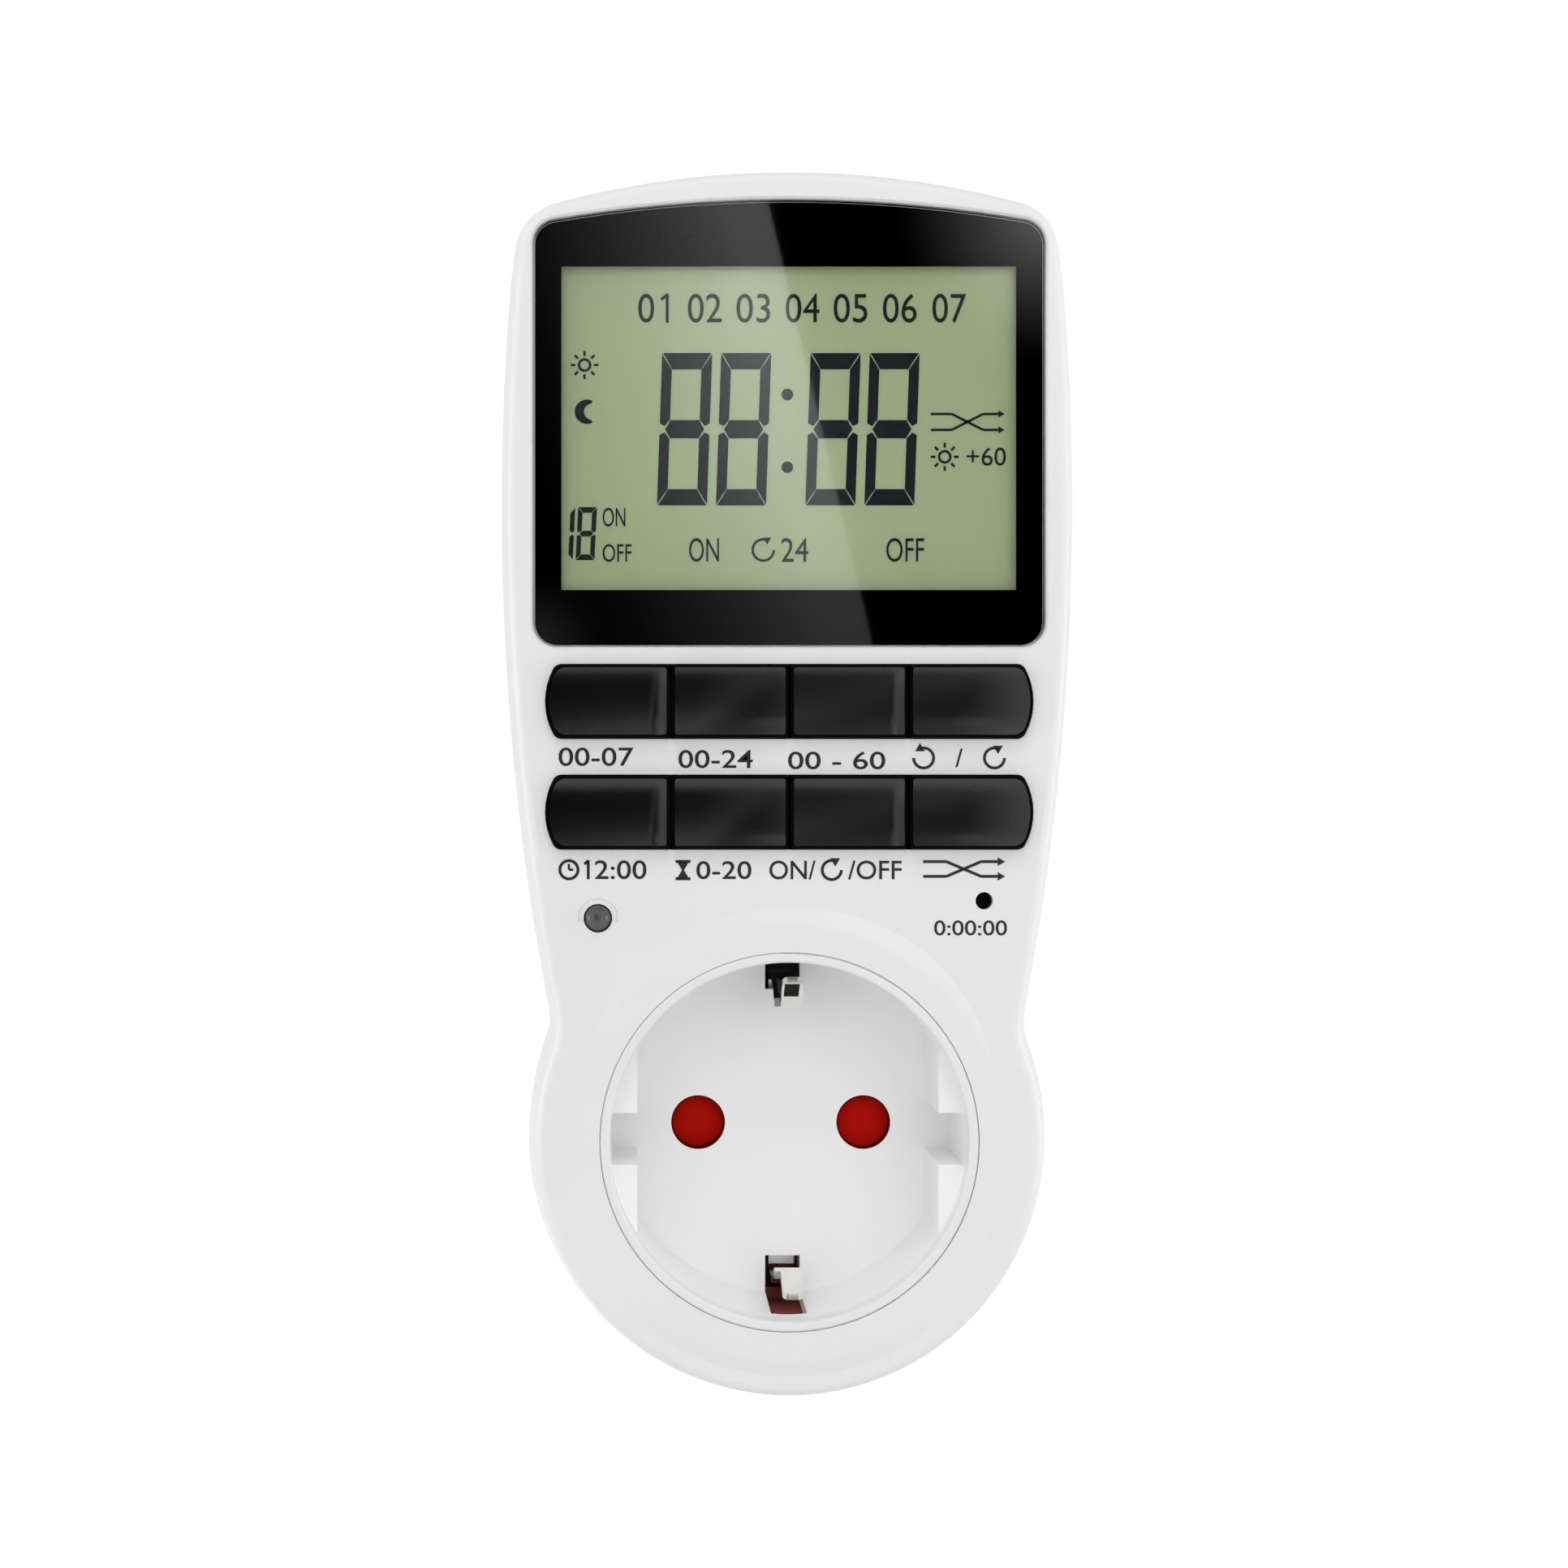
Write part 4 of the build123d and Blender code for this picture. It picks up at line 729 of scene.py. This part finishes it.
# Polished faces of the keys. Each is dished, and rolls off towards its right end: a roll has a length
# and the slope it ends with, in degrees.
keyFaceValues = {
    "flange": 0.6, "inset": 0.30, "bulge": 1.2, "corner": 0.75, "innerCorner": 0.25, "dish": 16.0,
    "lowest": 55.08, "foot": 54.9, "steps": (56, 22),
    "rolls": ((1.9, 14.0), (9.5, 5.0), (1.6, 15.0), (8.5, 4.0)),
}


def endBack(values, z, rise, arc, outer):
    # how far a face's end stands back from its furthest point
    corner = values["corner"] if outer else values["innerCorner"]
    over = max(0.0, abs(z) - (rise - corner))
    back = corner - math.sqrt(max(0.0, corner ** 2 - over ** 2))
    return back + (arc - math.sqrt(arc ** 2 - z ** 2) if outer else 0.0)


def keyGrid(bm, name, values, roll):
    # the dished sheet, lying flat, row by row
    low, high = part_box(name)
    left = low[0] / mm + values["inset"]
    right = high[0] / mm - values["inset"]
    middle = (low[2] + high[2]) / 2 / mm
    reach = (high[2] - low[2]) / 2 / mm - values["flange"]
    rise = reach - values["inset"]
    arc = (reach ** 2 + values["bulge"] ** 2) / (2 * values["bulge"])
    length, steep = roll
    fall = math.tan(math.radians(steep)) / (2 * length)
    across, upward = values["steps"]
    grid = []
    for j in range(upward + 1):
        z = rise * math.sin(math.pi * (j / upward - 0.5))
        start = left + endBack(values, z, rise, arc, "key_1" in name)
        end = right - endBack(values, z, rise, arc, "key_4" in name)
        line = []
        for i in range(across + 1):
            x = start + (end - start) * i / across
            past = max(0.0, x - (right - length))
            lift = fall * (length ** 2 - past ** 2)
            line.append(bm.verts.new((x, middle + z, values["lowest"] + z * z / (2 * values["dish"]) + lift)))
        grid.append(line)
    return grid


def keyFace(name, values, roll):
    bm = bmesh.new()
    grid = keyGrid(bm, name, values, roll)
    for below, above in zip(grid, grid[1:]):
        for i in range(len(below) - 1):
            bm.faces.new([below[i], below[i + 1], above[i + 1], above[i]]).smooth = True
    rim = grid[0] + [line[-1] for line in grid[1:-1]] + grid[-1][::-1] + [line[0] for line in grid[-2:0:-1]]
    foot = [bm.verts.new((v.co.x, v.co.y, values["foot"])) for v in rim]
    for i, vert in enumerate(rim):
        follow = (i + 1) % len(rim)
        bm.faces.new([vert, foot[i], foot[follow], rim[follow]])
        bm.edges.get((vert, rim[follow])).smooth = False
    bm.faces.new(foot[::-1])
    bmesh.ops.recalc_face_normals(bm, faces=bm.faces)
    mesh = meshFrom(name + "_face", bm)
    standAt(mesh, 0.0)
    addPiece(name + "_face", mesh, materials["key_black"], name)


for name in keyNames:
    keyFace(name, keyFaceValues, keyFaceValues["rolls"][int(name[-1]) - 1])

# Painted shade: dark rings in the contact holes stand in for their shaded walls, and a dark patch on the upper
# clip's curl stands in for its shade and the dark it reflects
socketPaintedShade = {
    "holes": (-9.5, 9.5), "shadeRadius": 3.01, "shadeWidth": 0.17, "shadeSteps": 48, "shadeFoot": 35.95,
    "shadeDepth": 1.48, "hollow": (0.49, 15.95, 2.0, 1.55), "hollowThickness": 0.03, "hollowLift": 0.002,
    "cuts": 5,
}


def makeSocketPaintedShade(values):
    holeShade = bmesh.new()
    for x in values["holes"]:
        addArc(holeShade, x, 0, values["shadeRadius"], values["shadeWidth"], steps=values["shadeSteps"])
    # painted shade: a dark lining in each contact hole, standing in for its shaded wall
    finishMark("contact_hole_painted_shade", holeShade, values["shadeFoot"], values["shadeDepth"], materials["painted_hole_shade"])
    # painted shade: a dark patch laid on the upper clip's curl, standing in for its shade and the dark it
    # reflects
    hollow = bmesh.new()
    addBar(hollow, *values["hollow"])
    bmesh.ops.subdivide_edges(hollow, edges=hollow.edges, cuts=values["cuts"], use_grid_fill=True)
    strap = "socket_earth_strap"
    piece = finishMark("clip_hollow", hollow, frontOf(strap), values["hollowThickness"],
                       materials["hollow_dark"])
    pressOnto(piece, nodes[strap], values["hollowLift"])


makeSocketPaintedShade(socketPaintedShade)
print("stage: key faces and socket marks")

# Floor, world and lamps
stageValues = {
    "floorZ": -0.15, "floorSize": 3.0, "floorColour": (0.86, 0.86, 0.86), "floorRough": 0.9,
    "floorFill": 0.72, "worldSeen": 1.0, "worldLow": 1.55, "worldHigh": 0.3,
}


def whereSeen(tree):
    # one where a camera, mirror or glass ray arrives, else zero
    path = tree.nodes.new("ShaderNodeLightPath")
    first = calc(tree, "MAXIMUM", path.outputs["Is Camera Ray"], path.outputs["Is Glossy Ray"])
    return calc(tree, "MAXIMUM", first, path.outputs["Is Transmission Ray"])


def makeWorld(values):
    world = bpy.data.worlds.new("studio")
    bpy.context.scene.world = world
    world.use_nodes = True
    tree = world.node_tree
    tree.nodes.clear()
    output = tree.nodes.new("ShaderNodeOutputWorld")
    mix = tree.nodes.new("ShaderNodeMixShader")
    soft = tree.nodes.new("ShaderNodeBackground")
    white = tree.nodes.new("ShaderNodeBackground")
    white.inputs["Color"].default_value = (1, 1, 1, 1)
    white.inputs["Strength"].default_value = values["worldSeen"]
    where = tree.nodes.new("ShaderNodeTexCoord")
    upward = axes(tree, where.outputs["Generated"])[2]
    slope = spread(tree, upward, values["worldLow"], values["worldHigh"], -1.0, 1.0)
    tree.links.new(slope, soft.inputs["Strength"])
    tree.links.new(whereSeen(tree), mix.inputs["Fac"])
    tree.links.new(soft.outputs[0], mix.inputs[1])
    tree.links.new(white.outputs[0], mix.inputs[2])
    tree.links.new(mix.outputs[0], output.inputs["Surface"])


def stageSheet(name, material, points):
    bm = bmesh.new()
    bm.faces.new([bm.verts.new(p) for p in points])
    mesh = meshFrom(name, bm)
    mesh.materials.append(material)
    sheet = newObject(name, mesh)
    return sheet


def makeFloor(values):
    material, tree, shader = blankMaterial("floor_paper")
    shader.inputs["Base Color"].default_value = (*values["floorColour"], 1)
    shader.inputs["Roughness"].default_value = values["floorRough"]
    shader.inputs["Emission Color"].default_value = (1, 1, 1, 1)
    fill = calc(tree, "MULTIPLY", whereSeen(tree), values["floorFill"])
    tree.links.new(fill, shader.inputs["Emission Strength"])
    far = values["floorSize"]
    z = values["floorZ"]
    stageSheet("floor", material, [(-far, -far, z), (far, -far, z), (far, far, z), (-far, far, z)])


def addLamp(name, values, place, radiance, inReflections):
    # power that gives the square panel a plain brightness, whatever its size
    data = bpy.data.lights.new(name, "AREA")
    data.size = values["size"]
    data.energy = radiance * math.pi * values["size"] ** 2
    lamp = newObject(name, data)
    lamp.location = place
    aim = Vector(values["target"]) - Vector(place)
    lamp.rotation_euler = aim.to_track_quat("-Z", "Y").to_euler()
    lamp.visible_glossy = inReflections


# place, radiance and whether reflections meet the lamp; all are aimed at the middle of the front
lampSetup = {
    "front_low": ((0.0, -1.0, 0.12), 0.1, False),
    "front_middle": ((0.0, -0.95, 0.40), 0.9, False),
    "front_high": ((0.0, -0.85, 0.65), 0.6, False),
    "above": ((0.0, -0.50, 0.85), 3.2, False),
    "front_left": ((-0.45, -0.95, 0.20), 0.65, False),
    "front_right": ((0.45, -0.95, 0.20), 0.9, False),
    "side_left": ((-0.80, -0.50, 0.05), 0.65, False),
    "side_right": ((0.80, -0.50, 0.05), 0.7, False),
    "edge_left": ((-0.90, -0.05, 0.05), 3.0, True),
    "edge_right": ((0.90, -0.05, 0.05), 3.0, True),
}
lampValues = {"target": (0, -0.05, 0.03), "size": 0.45}

# A dark card behind the camera, met only by reflections and through glass. It carries a slanted light
# panel with one sharp edge, a soft glow in two corners, and two panels past what the flat lens mirrors,
# which the dished keys pick up. A glow has its middle, reach, power and strength.
cardValues = {
    "y": -0.60, "left": -0.45, "right": 0.22, "low": -0.45, "high": 0.60,
    "edgeTop": (0.0252, 0.2215), "edgeFoot": (0.0580, 0.0825),
    "bandStrength": 1.6, "bandPlateau": 0.012, "bandFade": 0.100, "bandPower": 2.2, "footShare": 0.42,
    "glows": ((0.1129, 0.2189, 0.051, 2.2, 2.9), (-0.0490, 0.0812, 0.028, 2.0, 0.45)),
    "sidePanel": (0.112, 0.180, 1.3), "upperPanel": (0.226, 0.300, -0.03, 0.10, 0.7),
    "fillForDiffuse": 1.9,
}


def cardBand(tree, values, across):
    # bright just left of the slanted edge, fading away from it and towards its foot
    top = Vector(values["edgeTop"])
    foot = Vector(values["edgeFoot"])
    along = (top - foot).normalized()
    left = Vector((-along.y, along.x))
    if left.x > 0:
        left = -left
    x, _, z = across
    away = calc(tree, "ADD", calc(tree, "MULTIPLY", x, left.x), calc(tree, "MULTIPLY", z, left.y))
    start = left.dot(foot)
    fade = spread(tree, away, 1.0, 0.0, start + values["bandPlateau"], start + values["bandFade"])
    fade = calc(tree, "POWER", fade, values["bandPower"])
    inside = calc(tree, "GREATER_THAN", away, start)
    rise = spread(tree, z, values["footShare"], 1.0, foot.y, top.y)
    band = calc(tree, "MULTIPLY", calc(tree, "MULTIPLY", fade, inside), rise)
    return calc(tree, "MULTIPLY", band, values["bandStrength"])


def cardGlow(tree, across, glow):
    centreX, centreZ, reach, power, strength = glow
    x, _, z = across
    sideways = calc(tree, "POWER", calc(tree, "SUBTRACT", x, centreX), 2.0)
    upward = calc(tree, "POWER", calc(tree, "SUBTRACT", z, centreZ), 2.0)
    distance = calc(tree, "SQRT", calc(tree, "ADD", sideways, upward))
    near = spread(tree, distance, 1.0, 0.0, 0.0, reach)
    return calc(tree, "MULTIPLY", calc(tree, "POWER", near, power), strength)


def makeCard(values):
    material = bpy.data.materials.new("reflection_card")
    material.use_nodes = True
    tree = material.node_tree
    tree.nodes.clear()
    output = tree.nodes.new("ShaderNodeOutputMaterial")
    glow = tree.nodes.new("ShaderNodeEmission")
    across = axes(tree, objectPoint(tree))
    light = cardBand(tree, values, across)
    for row in values["glows"]:
        light = calc(tree, "ADD", light, cardGlow(tree, across, row))
    start, end, strength = values["sidePanel"]
    light = calc(tree, "ADD", light, spread(tree, across[0], 0.0, strength, start, end))
    low, high, start, end, strength = values["upperPanel"]
    upper = spread(tree, across[2], 0.0, strength, low, high)
    sideways = spread(tree, across[0], 0.0, 1.0, start, end)
    light = calc(tree, "ADD", light, calc(tree, "MULTIPLY", upper, sideways))
    # light that a matt surface behind the lens gathers passes as if there were no card
    path = tree.nodes.new("ShaderNodeLightPath")
    gathered = calc(tree, "GREATER_THAN", path.outputs["Diffuse Depth"], 0.5)
    fill = calc(tree, "MULTIPLY", gathered, values["fillForDiffuse"])
    plain = calc(tree, "MULTIPLY", light, calc(tree, "SUBTRACT", 1.0, gathered))
    tree.links.new(calc(tree, "ADD", plain, fill), glow.inputs["Strength"])
    tree.links.new(glow.outputs[0], output.inputs["Surface"])
    y = values["y"]
    card = stageSheet("reflection_card", material, [
        (values["left"], y, values["high"]), (values["right"], y, values["high"]),
        (values["right"], y, values["low"]), (values["left"], y, values["low"])])
    card.visible_camera = False
    card.visible_diffuse = False
    card.visible_shadow = False


makeWorld(stageValues)
makeFloor(stageValues)
for name, row in lampSetup.items():
    addLamp(name, lampValues, *row)
makeCard(cardValues)
print("stage: floor, world and lamps")
